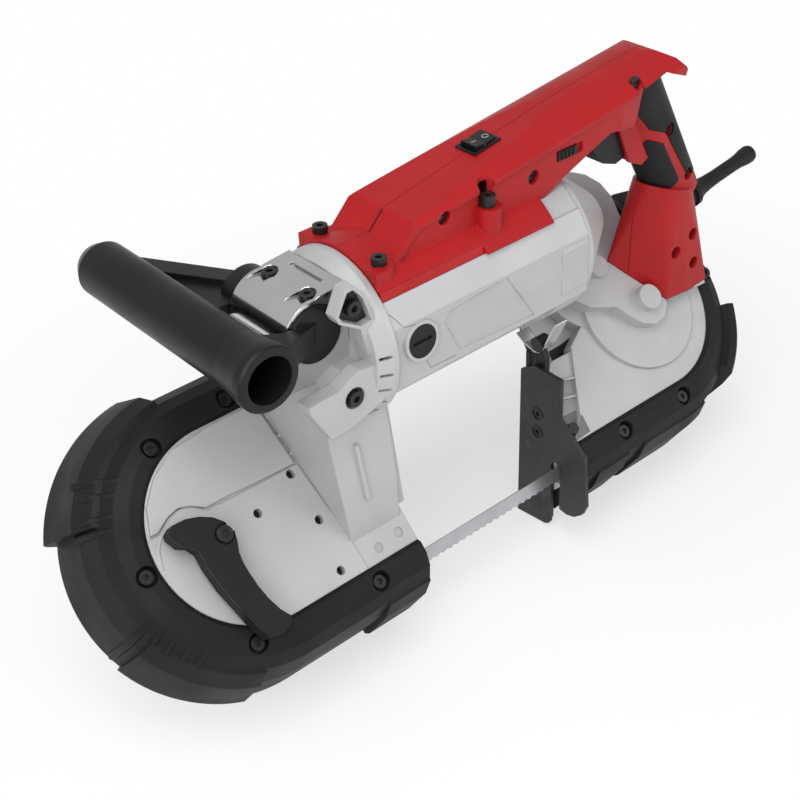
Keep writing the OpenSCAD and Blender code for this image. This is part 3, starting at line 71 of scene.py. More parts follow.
# Places and sizes in millimetres, from the idler axle
MOTOR_Y = 6
MOTOR_Z = 92
BARREL_R = 48
BRUSH_CAP_X = 103.6
HUB_X = 47
HUB_Z = 116
GRIP_BAR_X = -2
GRIP_BAR_Z = 122
BLIND_HOLES = ((39.3, 11.6), (8.5, 0.5), (41.0, -20.4), (37.1, -52.9))
STOP_FACE_X = 228.5
STOP_SCREW_Y = -11
STOP_SCREW_Z = (-33.7, -48.6)

DOWN = Vector((0, 0, -1))


def saw_point(x, y, z):
    """A point given in millimetres from the idler axle, in the frame."""
    return AXLE + Vector((x, y, z)) * MM


# Camera

FOCAL_PX = 1430
FRAME_PX = 800
SENSOR_MM = 36


def photo_camera():
    """The camera that was fitted to the photograph."""
    right = Vector((0.755, -0.6542, -0.0443)).normalized()
    up = Vector((0.405, 0.4122, 0.8161))
    up = (up - right * up.dot(right)).normalized()
    back = right.cross(up)
    data = bpy.data.cameras.new("photo_camera")
    data.sensor_width = SENSOR_MM
    data.lens = FOCAL_PX * SENSOR_MM / FRAME_PX
    data.clip_start = 0.05
    data.clip_end = 20
    camera = bpy.data.objects.new("photo_camera", data)
    scene.collection.objects.link(camera)
    turn = Matrix((right, up, back)).transposed().to_4x4()
    camera.matrix_world = Matrix.Translation((-0.5612, -0.5269, 0.6074)) @ turn
    scene.camera = camera


# Shader helpers


def feed(tree, socket, value):
    """Links a socket to another one, or gives it a plain value."""
    if isinstance(value, bpy.types.NodeSocket):
        tree.links.new(value, socket)
    else:
        socket.default_value = value


def new_group(name, amounts, results):
    """An empty shader group with a vector, named amounts with their defaults, and named results."""
    tree = bpy.data.node_groups.new(name, "ShaderNodeTree")
    tree.interface.new_socket("Vector", in_out="INPUT", socket_type="NodeSocketVector")
    for label, value in amounts.items():
        socket = tree.interface.new_socket(label, in_out="INPUT", socket_type="NodeSocketFloat")
        socket.default_value = value
    for label in results:
        tree.interface.new_socket(label, in_out="OUTPUT", socket_type="NodeSocketFloat")
    return tree, tree.nodes.new("NodeGroupInput"), tree.nodes.new("NodeGroupOutput")


def noise(tree, vector, scale, detail, rough=0.55):
    """Noise over a vector, with its scale in cycles per metre."""
    node = tree.nodes.new("ShaderNodeTexNoise")
    node.inputs["Detail"].default_value = detail
    node.inputs["Roughness"].default_value = rough
    feed(tree, node.inputs["Scale"], scale)
    feed(tree, node.inputs["Vector"], vector)
    return node.outputs["Fac"]


def stretched(tree, vector, scale, turn=(0, 0, 0)):
    """A vector turned and scaled, which draws a pattern out into lines."""
    node = tree.nodes.new("ShaderNodeMapping")
    node.inputs["Scale"].default_value = scale
    node.inputs["Rotation"].default_value = turn
    feed(tree, node.inputs["Vector"], vector)
    return node.outputs["Vector"]


def ramp(tree, value, low, high, a=0.0, b=1.0):
    """Maps low..high of a value to a..b, clamped."""
    node = tree.nodes.new("ShaderNodeMapRange")
    feed(tree, node.inputs["Value"], value)
    node.inputs["From Min"].default_value = low
    node.inputs["From Max"].default_value = high
    node.inputs["To Min"].default_value = a
    node.inputs["To Max"].default_value = b
    return node.outputs["Result"]


def maths(tree, operation, a, b):
    """Two values joined by an operation."""
    node = tree.nodes.new("ShaderNodeMath")
    node.operation = operation
    for socket, value in zip(node.inputs, (a, b)):
        feed(tree, socket, value)
    return node.outputs[0]


def colour_mix(tree, factor, a, b):
    """Two colours mixed by a factor, each one a socket or plain red, green and blue."""
    node = tree.nodes.new("ShaderNodeMix")
    node.data_type = "RGBA"
    feed(tree, node.inputs["Factor"], factor)
    # The node has an A, B and Result for each kind of data, and these are the ones for colours
    socket_a, socket_b, result = node.inputs[6], node.inputs[7], node.outputs[2]
    for socket, value in ((socket_a, a), (socket_b, b)):
        feed(tree, socket, (*value, 1.0) if isinstance(value, tuple) else value)
    return result


def shader_mix(tree, share, a, b):
    """Two shaders, with b's share given by a value."""
    node = tree.nodes.new("ShaderNodeMixShader")
    for socket, value in zip(node.inputs, (share, a, b)):
        feed(tree, socket, value)
    return node.outputs[0]


# Effects that the materials share


def grain_group():
    """Fine moulded or cast grain: a height, and a slow drift of tone over the surface."""
    amounts = {"Grain Scale": 1500.0, "Drift Scale": 25.0}
    tree, source, sink = new_group("fine_grain", amounts, ("Height", "Drift"))
    vector = source.outputs["Vector"]
    height = noise(tree, vector, source.outputs["Grain Scale"], 3.0)
    drift = noise(tree, vector, source.outputs["Drift Scale"], 3.0)
    feed(tree, sink.inputs["Height"], height)
    feed(tree, sink.inputs["Drift"], ramp(tree, drift, 0.3, 0.7))
    return tree


def wear_group():
    """Small rubbed patches and fine scratches, as a mask that is mostly empty."""
    amounts = {"Patch Scale": 60.0, "Amount": 0.3}
    tree, source, sink = new_group("handling_wear", amounts, ("Mask",))
    vector = source.outputs["Vector"]
    patches = noise(tree, vector, source.outputs["Patch Scale"], 6.0, 0.7)
    scratches = noise(tree, stretched(tree, vector, (0.12, 1.0, 1.0), (0.4, 0.3, 0.6)), 900.0, 2.0, 0.4)
    rubbed = ramp(tree, patches, 0.58, 0.74)
    lines = ramp(tree, scratches, 0.66, 0.74)
    both = maths(tree, "MAXIMUM", rubbed, maths(tree, "MULTIPLY", lines, 0.6))
    feed(tree, sink.inputs["Mask"], maths(tree, "MULTIPLY", both, source.outputs["Amount"]))
    return tree


def grinding_group():
    """The height of fine parallel grinding lines along X."""
    tree, source, sink = new_group("grinding_lines", {"Line Scale": 2500.0}, ("Height",))
    along = stretched(tree, source.outputs["Vector"], (0.02, 1.0, 1.0))
    feed(tree, sink.inputs["Height"], noise(tree, along, source.outputs["Line Scale"], 3.0))
    return tree


GRAIN = grain_group()
WEAR = wear_group()
GRINDING = grinding_group()


def place_group(tree, group, vector, **amounts):
    """One of the shared effects, placed in a material with its own amounts."""
    node = tree.nodes.new("ShaderNodeGroup")
    node.node_tree = group
    feed(tree, node.inputs["Vector"], vector)
    for label, value in amounts.items():
        node.inputs[label.replace("_", " ")].default_value = value
    return node


def finish_material(
    name,
    colours,
    worn,
    rough,
    grain,
    drift,
    bump,
    bump_mm,
    wear,
    metallic=0.0,
    edge_mm=0.0,
    lines=0.0,
    specular=0.5,
):
    """A finish of two drifting colours under rubbed patches, with grain, softened edges and gloss."""
    material = bpy.data.materials.new(name)
    material.use_nodes = True
    tree = material.node_tree
    shader = tree.nodes["Principled BSDF"]
    vector = tree.nodes.new("ShaderNodeTexCoord").outputs["Object"]
    surface = place_group(tree, GRAIN, vector, Grain_Scale=grain, Drift_Scale=drift)
    mask = place_group(tree, WEAR, vector, Amount=wear).outputs["Mask"]
    base = colour_mix(tree, surface.outputs["Drift"], *colours)
    feed(tree, shader.inputs["Base Color"], colour_mix(tree, mask, base, worn))
    # A tone of 1 has the second roughness, and what is rubbed goes up to half a step past it
    tone = maths(tree, "ADD", surface.outputs["Drift"], maths(tree, "MULTIPLY", mask, 0.8))
    low, high = rough
    feed(tree, shader.inputs["Roughness"], ramp(tree, tone, 0.0, 1.5, low, high + (high - low) / 2))
    shader.inputs["Metallic"].default_value = metallic
    shader.inputs["Specular IOR Level"].default_value = specular
    height = surface.outputs["Height"]
    if lines:
        height = place_group(tree, GRINDING, vector, Line_Scale=lines).outputs["Height"]
    relief = tree.nodes.new("ShaderNodeBump")
    relief.inputs["Strength"].default_value = bump
    relief.inputs["Distance"].default_value = bump_mm * MM
    feed(tree, relief.inputs["Height"], height)
    if edge_mm:
        rounded = tree.nodes.new("ShaderNodeBevel")
        rounded.samples = 6
        rounded.inputs["Radius"].default_value = edge_mm * MM
        feed(tree, relief.inputs["Normal"], rounded.outputs["Normal"])
    feed(tree, shader.inputs["Normal"], relief.outputs["Normal"])
    return material


# Finishes. A colour is linear red, green and blue, and a grain, drift or line scale is in cycles per metre.

CAST = finish_material(
    "cast_cover_paint",
    colours=((0.47, 0.47, 0.475), (0.43, 0.43, 0.435)),
    worn=(0.56, 0.56, 0.56),
    rough=(0.4, 0.5), grain=1400, drift=18, bump=0.12, bump_mm=0.08, wear=0.25,
    metallic=0.2, edge_mm=1.1, specular=0.4,
)
MOTOR = finish_material(
    "motor_housing_paint",
    colours=((0.46, 0.46, 0.465), (0.42, 0.42, 0.43)),
    worn=(0.55, 0.55, 0.55),
    rough=(0.38, 0.48), grain=1600, drift=20, bump=0.1, bump_mm=0.08, wear=0.2,
    metallic=0.2, edge_mm=1.0, specular=0.4,
)
RED = finish_material(
    "red_moulded_shell",
    colours=((0.39, 0.0065, 0.0085), (0.34, 0.0055, 0.007)),
    worn=(0.45, 0.025, 0.025),
    rough=(0.42, 0.52), grain=2200, drift=30, bump=0.1, bump_mm=0.06, wear=0.2,
    edge_mm=1.2, specular=0.28,
)
RUBBER = finish_material(
    "black_bumper_rubber",
    colours=((0.0085, 0.0085, 0.009), (0.006, 0.006, 0.0064)),
    worn=(0.022, 0.022, 0.022),
    rough=(0.5, 0.66), grain=1300, drift=25, bump=0.35, bump_mm=0.15, wear=0.45,
    edge_mm=1.2, specular=0.22,
)
BLACK = finish_material(
    "black_moulded_plastic",
    colours=((0.0085, 0.0085, 0.009), (0.007, 0.007, 0.0073)),
    worn=(0.02, 0.02, 0.02),
    rough=(0.38, 0.5), grain=2000, drift=30, bump=0.18, bump_mm=0.1, wear=0.3,
    edge_mm=0.8, specular=0.25,
)
GRIP = finish_material(
    "front_handle_plastic",
    colours=((0.008, 0.008, 0.0085), (0.006, 0.006, 0.0063)),
    worn=(0.018, 0.018, 0.018),
    rough=(0.34, 0.46), grain=1500, drift=25, bump=0.3, bump_mm=0.12, wear=0.3,
    edge_mm=1.0, specular=0.25,
)
TYRE = finish_material(
    "wheel_tyre_rubber",
    colours=((0.02, 0.02, 0.02), (0.03, 0.03, 0.03)),
    worn=(0.07, 0.07, 0.07),
    rough=(0.6, 0.75), grain=1800, drift=60, bump=0.3, bump_mm=0.1, wear=0.6,
    edge_mm=0.4,
)
PLATE = finish_material(
    "black_oxide_plate",
    colours=((0.03, 0.03, 0.032), (0.022, 0.022, 0.024)),
    worn=(0.12, 0.12, 0.12),
    rough=(0.4, 0.52), grain=2500, drift=40, bump=0.12, bump_mm=0.05, wear=0.4,
    metallic=0.4, edge_mm=0.4,
)
SCREW = finish_material(
    "black_oxide_screw",
    colours=((0.02, 0.02, 0.022), (0.03, 0.03, 0.032)),
    worn=(0.1, 0.1, 0.1),
    rough=(0.32, 0.42), grain=2500, drift=90, bump=0.1, bump_mm=0.04, wear=0.4,
    metallic=0.6, edge_mm=0.3,
)
STEEL = finish_material(
    "turned_steel",
    colours=((0.46, 0.46, 0.47), (0.4, 0.4, 0.41)),
    worn=(0.6, 0.6, 0.6),
    rough=(0.26, 0.36), grain=2500, drift=60, bump=0.08, bump_mm=0.04, wear=0.3,
    metallic=0.9, edge_mm=0.3,
)
BLADE = finish_material(
    "ground_blade_steel",
    colours=((0.5, 0.5, 0.51), (0.42, 0.43, 0.45)),
    worn=(0.3, 0.3, 0.31),
    rough=(0.28, 0.4), grain=2500, drift=40, bump=0.2, bump_mm=0.03, wear=0.35,
    metallic=0.85, lines=3000.0,
)
CHROME = finish_material(
    "chromed_clamp",
    colours=((0.62, 0.62, 0.63), (0.55, 0.55, 0.56)),
    worn=(0.7, 0.7, 0.7),
    rough=(0.1, 0.2), grain=900, drift=30, bump=0.05, bump_mm=0.06, wear=0.2,
    metallic=1.0, edge_mm=1.2,
)
GEAR = finish_material(
    "oiled_gear_steel",
    colours=((0.3, 0.28, 0.24), (0.24, 0.22, 0.19)),
    worn=(0.42, 0.4, 0.36),
    rough=(0.24, 0.34), grain=2000, drift=60, bump=0.08, bump_mm=0.04, wear=0.4,
    metallic=0.9, edge_mm=0.3,
)
COPPER = finish_material(
    "lacquered_winding",
    colours=((0.4, 0.16, 0.06), (0.3, 0.12, 0.05)),
    worn=(0.5, 0.25, 0.12),
    rough=(0.3, 0.4), grain=1800, drift=80, bump=0.2, bump_mm=0.1, wear=0.3,
    metallic=0.7, edge_mm=0.3,
)
# Dark grey for the housing's joint lines, which are dark joints, and for the ledge's foot, where it is
# painted shade.
SEAM_AND_SHADE = finish_material(
    "seam_and_painted_shade",
    colours=((0.16, 0.16, 0.165), (0.12, 0.12, 0.125)),
    worn=(0.3, 0.3, 0.3),
    rough=(0.6, 0.7), grain=1400, drift=40, bump=0.1, bump_mm=0.05, wear=0.2,
)
# A darker grey for the lower treads, which face away from the light: painted shade.
LEDGE_SHADE = finish_material(
    "ledge_painted_shade",
    colours=((0.3, 0.3, 0.305), (0.26, 0.26, 0.265)),
    worn=(0.42, 0.42, 0.42),
    rough=(0.45, 0.55), grain=1400, drift=40, bump=0.1, bump_mm=0.06, wear=0.2,
    metallic=0.1, edge_mm=0.8, specular=0.35,
)
SEAM_RED = finish_material(
    "shell_joint_shadow",
    colours=((0.055, 0.002, 0.0025), (0.045, 0.002, 0.002)),
    worn=(0.09, 0.006, 0.006),
    rough=(0.6, 0.7), grain=1400, drift=40, bump=0.1, bump_mm=0.05, wear=0.2,
    specular=0.2,
)
MARK = finish_material(
    "rocker_mark_paint",
    colours=((0.5, 0.5, 0.5), (0.42, 0.42, 0.42)),
    worn=(0.3, 0.3, 0.3),
    rough=(0.5, 0.6), grain=2200, drift=60, bump=0.1, bump_mm=0.03, wear=0.3,
)

NODE_FINISH = {
    CAST: ["front_frame", "rear_frame", "gear_case", "gear_cover", "idler_wheel", "drive_wheel"],
    MOTOR: ["motor_housing"],
    RED: ["handle_shell_left", "handle_shell_right"],
    RUBBER: ["front_bumper", "rear_bumper", "grip_pads", "cord_guard"],
    BLACK: [
        "blade_guard", "trigger", "trigger_switch", "power_rocker", "rocker_bezel", "side_lock",
        "brush_caps", "tension_lever", "brushes", "motor_fan",
    ],
    GRIP: ["front_handle"],
    TYRE: ["idler_tyre", "drive_tyre"],
    PLATE: ["work_stop", "front_guide", "rear_guide"],
    SCREW: [
        "front_bumper_screws", "rear_bumper_screws", "flange_screws", "shell_screws", "stop_screws",
        "frame_bolts", "clamp_screws", "lever_screw",
    ],
    STEEL: [
        "idler_bearings", "idler_axle", "tension_slide", "tension_spring", "cover_dowels", "drive_shaft",
        "drive_bearings", "motor_bearings", "roller_1", "roller_2", "roller_3", "roller_4",
        "back_roller_1", "back_roller_2",
    ],
    BLADE: ["saw_blade"],
    CHROME: ["handle_clamp"],
    GEAR: ["output_gear", "intermediate_gear", "bevel_gear"],
    COPPER: ["armature", "motor_stator"],
}


def dress_nodes():
    """Gives every CAD node its finish."""
    for material, names in NODE_FINISH.items():
        for name in names:
            mesh = nodes[name].data
            mesh.materials.clear()
            mesh.materials.append(material)


# Tools for the added detail


def circle_points(x, y, radius, count):
    """Points evenly round a circle."""
    turns = [math.radians(360 / count * i) for i in range(count)]
    return [(x + radius * math.cos(a), y + radius * math.sin(a)) for a in turns]


def arc_points(x, y, radius, start, end, count):
    """Points along an arc, with its angles in degrees."""
    turns = [math.radians(start + (end - start) * i / count) for i in range(count + 1)]
    return [(x + radius * math.cos(a), y + radius * math.sin(a)) for a in turns]


def raise_faces(shape, faces, height):
    """Extrudes flat faces into a closed solid."""
    grown = bmesh.ops.extrude_face_region(shape, geom=faces)
    tops = [item for item in grown["geom"] if isinstance(item, bmesh.types.BMVert)]
    bmesh.ops.translate(shape, vec=(0, 0, height), verts=tops)


def prism(shape, outline, low, high):
    """A straight solid over an outline, between two heights."""
    face = shape.faces.new([shape.verts.new((x, y, low)) for x, y in outline])
    raise_faces(shape, [face], high - low)


def disc(shape, x, y, radius, low, high, segments=32):
    """A short round plug between two heights."""
    spot = Matrix.Translation((x, y, (low + high) / 2))
    bmesh.ops.create_cone(
        shape, cap_ends=True, segments=segments, radius1=radius, radius2=radius, depth=high - low, matrix=spot
    )


def ring_edges(shape, points):
    """A closed loop of edges through points on the floor of the shape."""
    corners = [shape.verts.new((x, y, 0)) for x, y in points]
    return [shape.edges.new((a, b)) for a, b in zip(corners, corners[1:] + corners[:1])]


def plate_with_holes(outline, holes, height):
    """A flat plate with round holes, each given as (x, y, radius), standing on the floor of its shape."""
    shape = bmesh.new()
    edges = ring_edges(shape, outline)
    for x, y, radius in holes:
        edges += ring_edges(shape, circle_points(x, y, radius, 24))
    bmesh.ops.triangle_fill(shape, use_beauty=True, edges=edges)
    raise_faces(shape, shape.faces[:], height)
    return shape


def finish_piece(name, shape, material, place, body="frame"):
    """Closes a shape in millimetres, puts it in its place in metres and rides it on its body."""
    bmesh.ops.remove_doubles(shape, verts=shape.verts, dist=1e-5)
    bmesh.ops.recalc_face_normals(shape, faces=shape.faces)
    shape.transform(place @ Matrix.Scale(MM, 4))
    mesh = bpy.data.meshes.new(name)
    shape.to_mesh(mesh)
    shape.free()
    mesh.materials.append(material)
    piece = bpy.data.objects.new(name, mesh)
    scene.collection.objects.link(piece)
    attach(piece, body)


def prism_piece(name, material, place, solids, body="frame"):
    """One piece of straight solids, each given as (outline, low, high)."""
    shape = bmesh.new()
    for outline, low, high in solids:
        prism(shape, outline, low, high)
    finish_piece(name, shape, material, place, body)


def disc_piece(name, material, place, discs, segments=32):
    """One piece of round plugs, each given as (x, y, radius, low, high)."""
    shape = bmesh.new()
    for x, y, radius, low, high in discs:
        disc(shape, x, y, radius, low, high, segments)
    finish_piece(name, shape, material, place)


def surface_of(name):
    """The faces of a frame node, for finding points on it."""
    mesh = nodes[name].data
    return BVHTree.FromPolygons([v.co for v in mesh.vertices], [p.vertices for p in mesh.polygons])


def bead(name, lines, node, direction, radius, material, lift=0.0, body="frame", widths=None):
    """A thin rounded line along the surface of a node.

    Each of the lines is a list of points in metres, and is sent in a direction until it meets the node.
    The radius and the lift are in millimetres. The widths give the share of the radius along a line.
    """
    step = 1.5 * MM
    reach = 200 * MM
    carrier = surface_of(node)
    curve = bpy.data.curves.new(name, "CURVE")
    curve.dimensions = "3D"
    curve.bevel_depth = radius * MM
    curve.bevel_resolution = 2
    curve.use_fill_caps = True
    for line in lines:
        starts = []
        for a, b in zip(line, line[1:]):
            count = max(2, int((b - a).length / step))
            starts += [a.lerp(b, i / count) for i in range(count)]
        starts.append(line[-1])
        hits = [carrier.ray_cast(start, direction, reach)[0] for start in starts]
        found = [hit - direction * lift * MM for hit in hits if hit is not None]
        spline = curve.splines.new("POLY")
        spline.points.add(len(found) - 1)
        for i, (point, hit) in enumerate(zip(spline.points, found)):
            point.co = (*hit, 1.0)
            point.radius = widths(i / (len(found) - 1)) if widths else 1.0
    piece = bpy.data.objects.new(name, curve)
    scene.collection.objects.link(piece)
    curve.materials.append(material)
    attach(piece, body)


# Added detail


def cover_step():
    """The raised lower half of the idler cover, with its S-shaped upper edge and blind holes."""
    round_r = 60.4
    upper_edge = [
        (-58.0, 16.0), (-49.8, 16.8), (-46.5, 19.6), (-43.6, 21.5), (-40.5, 23.0), (-37.5, 23.7),
        (-34.0, 24.2), (-31.0, 24.0), (-28.0, 23.5), (-25.5, 22.6), (-22.8, 20.2), (-20.1, 17.5),
        (-16.8, 15.8), (-12.6, 16.6), (-8.0, 15.8), (46.6, 15.4),
    ]
    arm_edge = [(48.2, 0.0), (53.0, -41.0), (53.6, -round_r)]
    outline = upper_edge + arm_edge + arc_points(0, 0, round_r, -90, -195, 30)
    lever_hole = (-21.6, -5.5, 9.0)
    holes = [(x, y, 2.8) for x, y in BLIND_HOLES] + [lever_hole]
    finish_piece("cover_step", plate_with_holes(outline, holes, 0.8), CAST, COVER)


def hole_painted_shade():
    """Black discs at the bottoms of the blind holes in the idler cover: painted shade."""
    floors = [(x, y, 2.7, -5.0, -4.2) for x, y in BLIND_HOLES]
    disc_piece("hole_painted_shade", BLACK, COVER, floors, segments=24)


def shell_seam():
    """The joint of the two handle shells along the crown, before and behind the rocker."""
    beside_joint = MOTOR_Y - 0.03
    above = 230
    lines = [
        [saw_point(x, beside_joint, above) for x in (86, 112, 152, 182.5)],
        [saw_point(x, beside_joint, above) for x in (206, 246, 300, 336, 346)],
    ]
    bead("shell_seam", lines, "handle_shell_left", DOWN, 0.9, SEAM_RED, lift=-0.86)


def flange_lips():
    """Red edges that carry the top handle's flanges down to the motor housing."""
    section = [(-38.8, 33.1), (-34.3, 33.6), (-31.6, 36.1), (-28.8, 38.4), (-37.1, 38.7)]
    front, rear = 84.7, 163.8
    lips = [([(MOTOR_Y - side * y, MOTOR_Z + z) for y, z in section], front, rear) for side in (-1, 1)]
    prism_piece("flange_lips", RED, ACROSS, lips)


def stop_ledge():
    """Treads that step down the edge of the rear cover beside the work stop, and their screw. The lower
    treads, the foot and the pocket are coloured darker as painted shade.
    """
    floor = -12
    treads = [
        ([(249.7, -5.5), (270.5, -6.0), (264.5, -23.4), (249.6, -19.3), (245.2, -15.9), (244.1, -10.7)],
         floor, -2.0),
        ([(249.8, -18.9), (264.6, -22.9), (263.8, -24.6), (249.0, -20.5)], floor, -0.6),
        ([(243.1, -29.9), (258.4, -33.9), (257.6, -35.4), (242.2, -31.3)], floor, -1.6),
    ]
    prism_piece("stop_ledge", CAST, COVER, treads)
    # The lower treads are a darker grey than the cover: painted shade.
    lower = [
        ([(249.6, -19.3), (263.0, -22.7), (257.0, -34.0), (242.7, -30.4)], floor, -2.9),
        ([(242.7, -30.4), (257.0, -34.0), (252.0, -42.3), (235.6, -41.4)], floor, -3.3),
    ]
    prism_piece("lower_ledge", LEDGE_SHADE, COVER, lower)
    # The foot and the strip beside its screw are dark grey: painted shade.
    foot = [
        ([(235.6, -41.4), (252.0, -42.3), (249.5, -47.0), (248.0, -59.5), (234.0, -60.0)], floor, -3.8),
        ([(233.4, -59.9), (248.3, -58.9), (249.1, -47.6), (248.2, -46.2)], -1, 0.15),
    ]
    prism_piece("ledge_foot", SEAM_AND_SHADE, COVER, foot)
    disc_piece("ledge_screw", SCREW, COVER, [(237.4, -51.6, 3.9, -3.9, 0.6)])
    # A black sheet deep in the pocket beside the treads: painted shade.
    pocket = [(257.3, -6.0), (258.6, 1.2), (270.5, 1.5), (280.3, 2.7), (276.2, -5.8), (264.9, -6.3)]
    prism_piece("ledge_pocket_shade", BLACK, COVER, [(pocket, -10.2, -9.6)])


def stop_bracket():
    """The bent bright strip above the work stop, on its two black posts and with its screw."""
    inner = [
        (12.0, 19.3), (4.5, 14.8), (-3.9, 12.4), (-7.6, 13.0), (-11.1, 17.0), (-14.6, 24.4), (-22.3, 40.9),
    ]
    outer = [
        (-23.5, 40.3), (-15.8, 23.8), (-12.1, 16.1), (-8.1, 11.8), (-3.7, 11.2), (5.0, 13.7), (12.6, 18.2),
    ]
    prism_piece("stop_bracket", CHROME, ACROSS, [(inner + outer, 232.2, 243.0)])
    front = 232.0
    posts = [
        ([(-0.5, -6.0), (3.0, -6.0), (3.0, 9.0), (-0.5, 9.0)], front, 235.6),
        ([(-14.3, -28.0), (-5.5, -28.0), (-5.5, 12.0), (-8.0, 12.2), (-12.0, 15.6), (-14.3, 11.0)],
         front, 236.4),
        ([(-5.6, 7.0), (3.0, 7.0), (3.0, 10.0), (-5.6, 11.6)], 232.6, 235.4),
    ]
    prism_piece("stop_posts", BLACK, ACROSS, posts)
    disc_piece("bracket_screw", SCREW, ACROSS, [(-7.4, 18.8, 5.2, 231.0, 240.0)])


def stop_rings():
    """Rims around the two screws of the work stop."""
    shape = bmesh.new()
    height = 0.5
    middle = STOP_FACE_X + height / 2
    for z in STOP_SCREW_Z:
        spot = Matrix.Translation((STOP_SCREW_Y, z, middle))
        for radius in (5.0, 4.1):
            bmesh.ops.create_cone(
                shape, cap_ends=False, segments=40, radius1=radius, radius2=radius, depth=height, matrix=spot
            )
        # Only the two new walls are still open, so these are their rims
        rims = [edge for edge in shape.edges if edge.is_boundary]
        for lower in (True, False):
            level = [edge for edge in rims if (edge.verts[0].co.z < middle) == lower]
            bmesh.ops.bridge_loops(shape, edges=level)
    finish_piece("stop_rings", shape, SCREW, ACROSS)


def cap_bezels():
    """Raised rims of the housing around the two brush caps."""
    for name, turn in (("near", -5.5), ("far", 174.5)):
        place = LEVEL @ Matrix.Translation(Vector((BRUSH_CAP_X, MOTOR_Y, MOTOR_Z)) * MM)
        place = place @ Matrix.Rotation(math.radians(turn + 90), 4, "X")
        place = place @ Matrix.Translation((0, 0, BARREL_R * MM))
        rim = plate_with_holes(circle_points(0, 0, 12.5, 48), [(0, 0, 10.4)], 1.7)
        finish_piece("cap_bezel_" + name, rim, MOTOR, place)


def handle_web():
    """The flat web between the grip bar and the far arm of the front handle."""
    half = 3.6
    tilt = math.atan2(GRIP_BAR_Z - HUB_Z, HUB_X - GRIP_BAR_X)
    place = LEVEL @ Matrix.Translation(Vector((HUB_X, MOTOR_Y, HUB_Z)) * MM)
    place = place @ Matrix.Rotation(tilt, 4, "Y")
    outline = [(4, 30), (-46, 100), (-46, 24), (-16, 26)]
    prism_piece("handle_web", GRIP, place, [(outline, -half, half)], "front_handle")


def slit_painted_shade():
    """Black blocks in the slits round the bell: painted shade."""
    shape = bmesh.new()
    slit_x = 76
    slit_r = BARREL_R - 2
    width, depth, length = 1.9, 3.6, 6.8
    first_turn, turn_step = 58, 13
    axis = Matrix.Translation((0, MOTOR_Y, MOTOR_Z)) @ Matrix.Rotation(math.radians(90), 4, "Y")
    slit = Matrix.Translation((0, -slit_r, slit_x)) @ Matrix.Diagonal((width, depth, length, 1))
    for i in range(6):
        turn = Matrix.Rotation(math.radians(first_turn - turn_step * i), 4, "Z")
        bmesh.ops.create_cube(shape, size=1.0, matrix=axis @ turn @ slit)
    finish_piece("slit_painted_shade", shape, BLACK, LEVEL)


def ear_painted_shade():
    """Dark sheets in the pockets of the two near ears: painted shade."""
    shape = bmesh.new()
    upper = [
        (52.3, 132.0), (58.6, 143.7), (62.9, 143.9), (68.5, 136.8), (73.9, 120.8), (67.0, 120.1),
        (54.2, 128.2),
    ]
    prism(shape, upper, 30.9, 31.3)
    disc(shape, 55.6, 79.8, 6.4, 37.7, 38.1)
    finish_piece("ear_painted_shade", shape, SCREW, SIDE)


def housing_seams():
    """The joint lines of the housing's two panels, left and right of the brush cap."""
    beside = -75
    lines = [
        [saw_point(x, beside, z) for x, z in ((85.8, 119.1), (91.8, 110.1), (100.0, 108.8))],
        [saw_point(x, beside, z) for x, z in ((106.5, 83.0), (110.2, 75.1), (130.1, 74.4))],
    ]
    bead("housing_seams", lines, "motor_housing", Vector((0, 1, 0)), 0.28, SEAM_AND_SHADE, lift=-0.12)


def bumper_flutes():
    """Broad ribs across the outer corners of the front bumper, each from its outer end to its inner."""
    upper_ribs = [
        ((-70.8, 65.2), (-46.9, 50.6)),
        ((-73.6, 56.8), (-53.2, 43.2)),
        ((-80.2, 43.8), (-57.1, 33.9)),
        ((-83.1, 37.4), (-60.4, 25.7)),
    ]
    lower_ribs = [
        ((-92.5, -31.1), (-69.4, -19.5)),
        ((-79.5, -34.9), (-69.2, -27.3)),
        ((-75.8, -43.3), (-65.6, -35.0)),
        ((-69.7, -51.1), (-59.7, -42.1)),
        ((-64.4, -58.0), (-52.8, -50.5)),
    ]
    above = 30
    lines = [[COVER @ (Vector((x, y, above)) * MM) for x, y in rib] for rib in upper_ribs + lower_ribs]
    onto_cover = COVER.to_3x3() @ DOWN
    bead(
        "bumper_flutes", lines, "front_bumper", onto_cover, 3.0, RUBBER,
        lift=-2.1, widths=lambda share: 1.0 - 0.45 * share,
    )


def rocker_marks():
    """The plain bar and ring on the two halves of the power rocker."""
    above = 200
    ring_x, bar_x = 199.6, 190.0
    circle = circle_points(ring_x, MOTOR_Y, 1.9, 24)
    ring = [saw_point(x, y, above) for x, y in circle + circle[:1]]
    bar = [saw_point(bar_x + half, MOTOR_Y, above) for half in (-1.8, 1.8)]
    bead("rocker_marks", [ring, bar], "power_rocker", DOWN, 0.22, MARK, body="rocker")


# Studio

FLOOR_GAP = 0.5 * MM


def seen_as_background(tree, glossy_share=1.0):
    """1 where the camera looks straight at something or through glass, and a share in reflections."""
    path = tree.nodes.new("ShaderNodeLightPath")
    glossy = path.outputs["Is Glossy Ray"]
    if glossy_share < 1.0:
        glossy = maths(tree, "MULTIPLY", glossy, glossy_share)
    seen = maths(tree, "MAXIMUM", path.outputs["Is Camera Ray"], glossy)
    return maths(tree, "MAXIMUM", seen, path.outputs["Is Transmission Ray"])


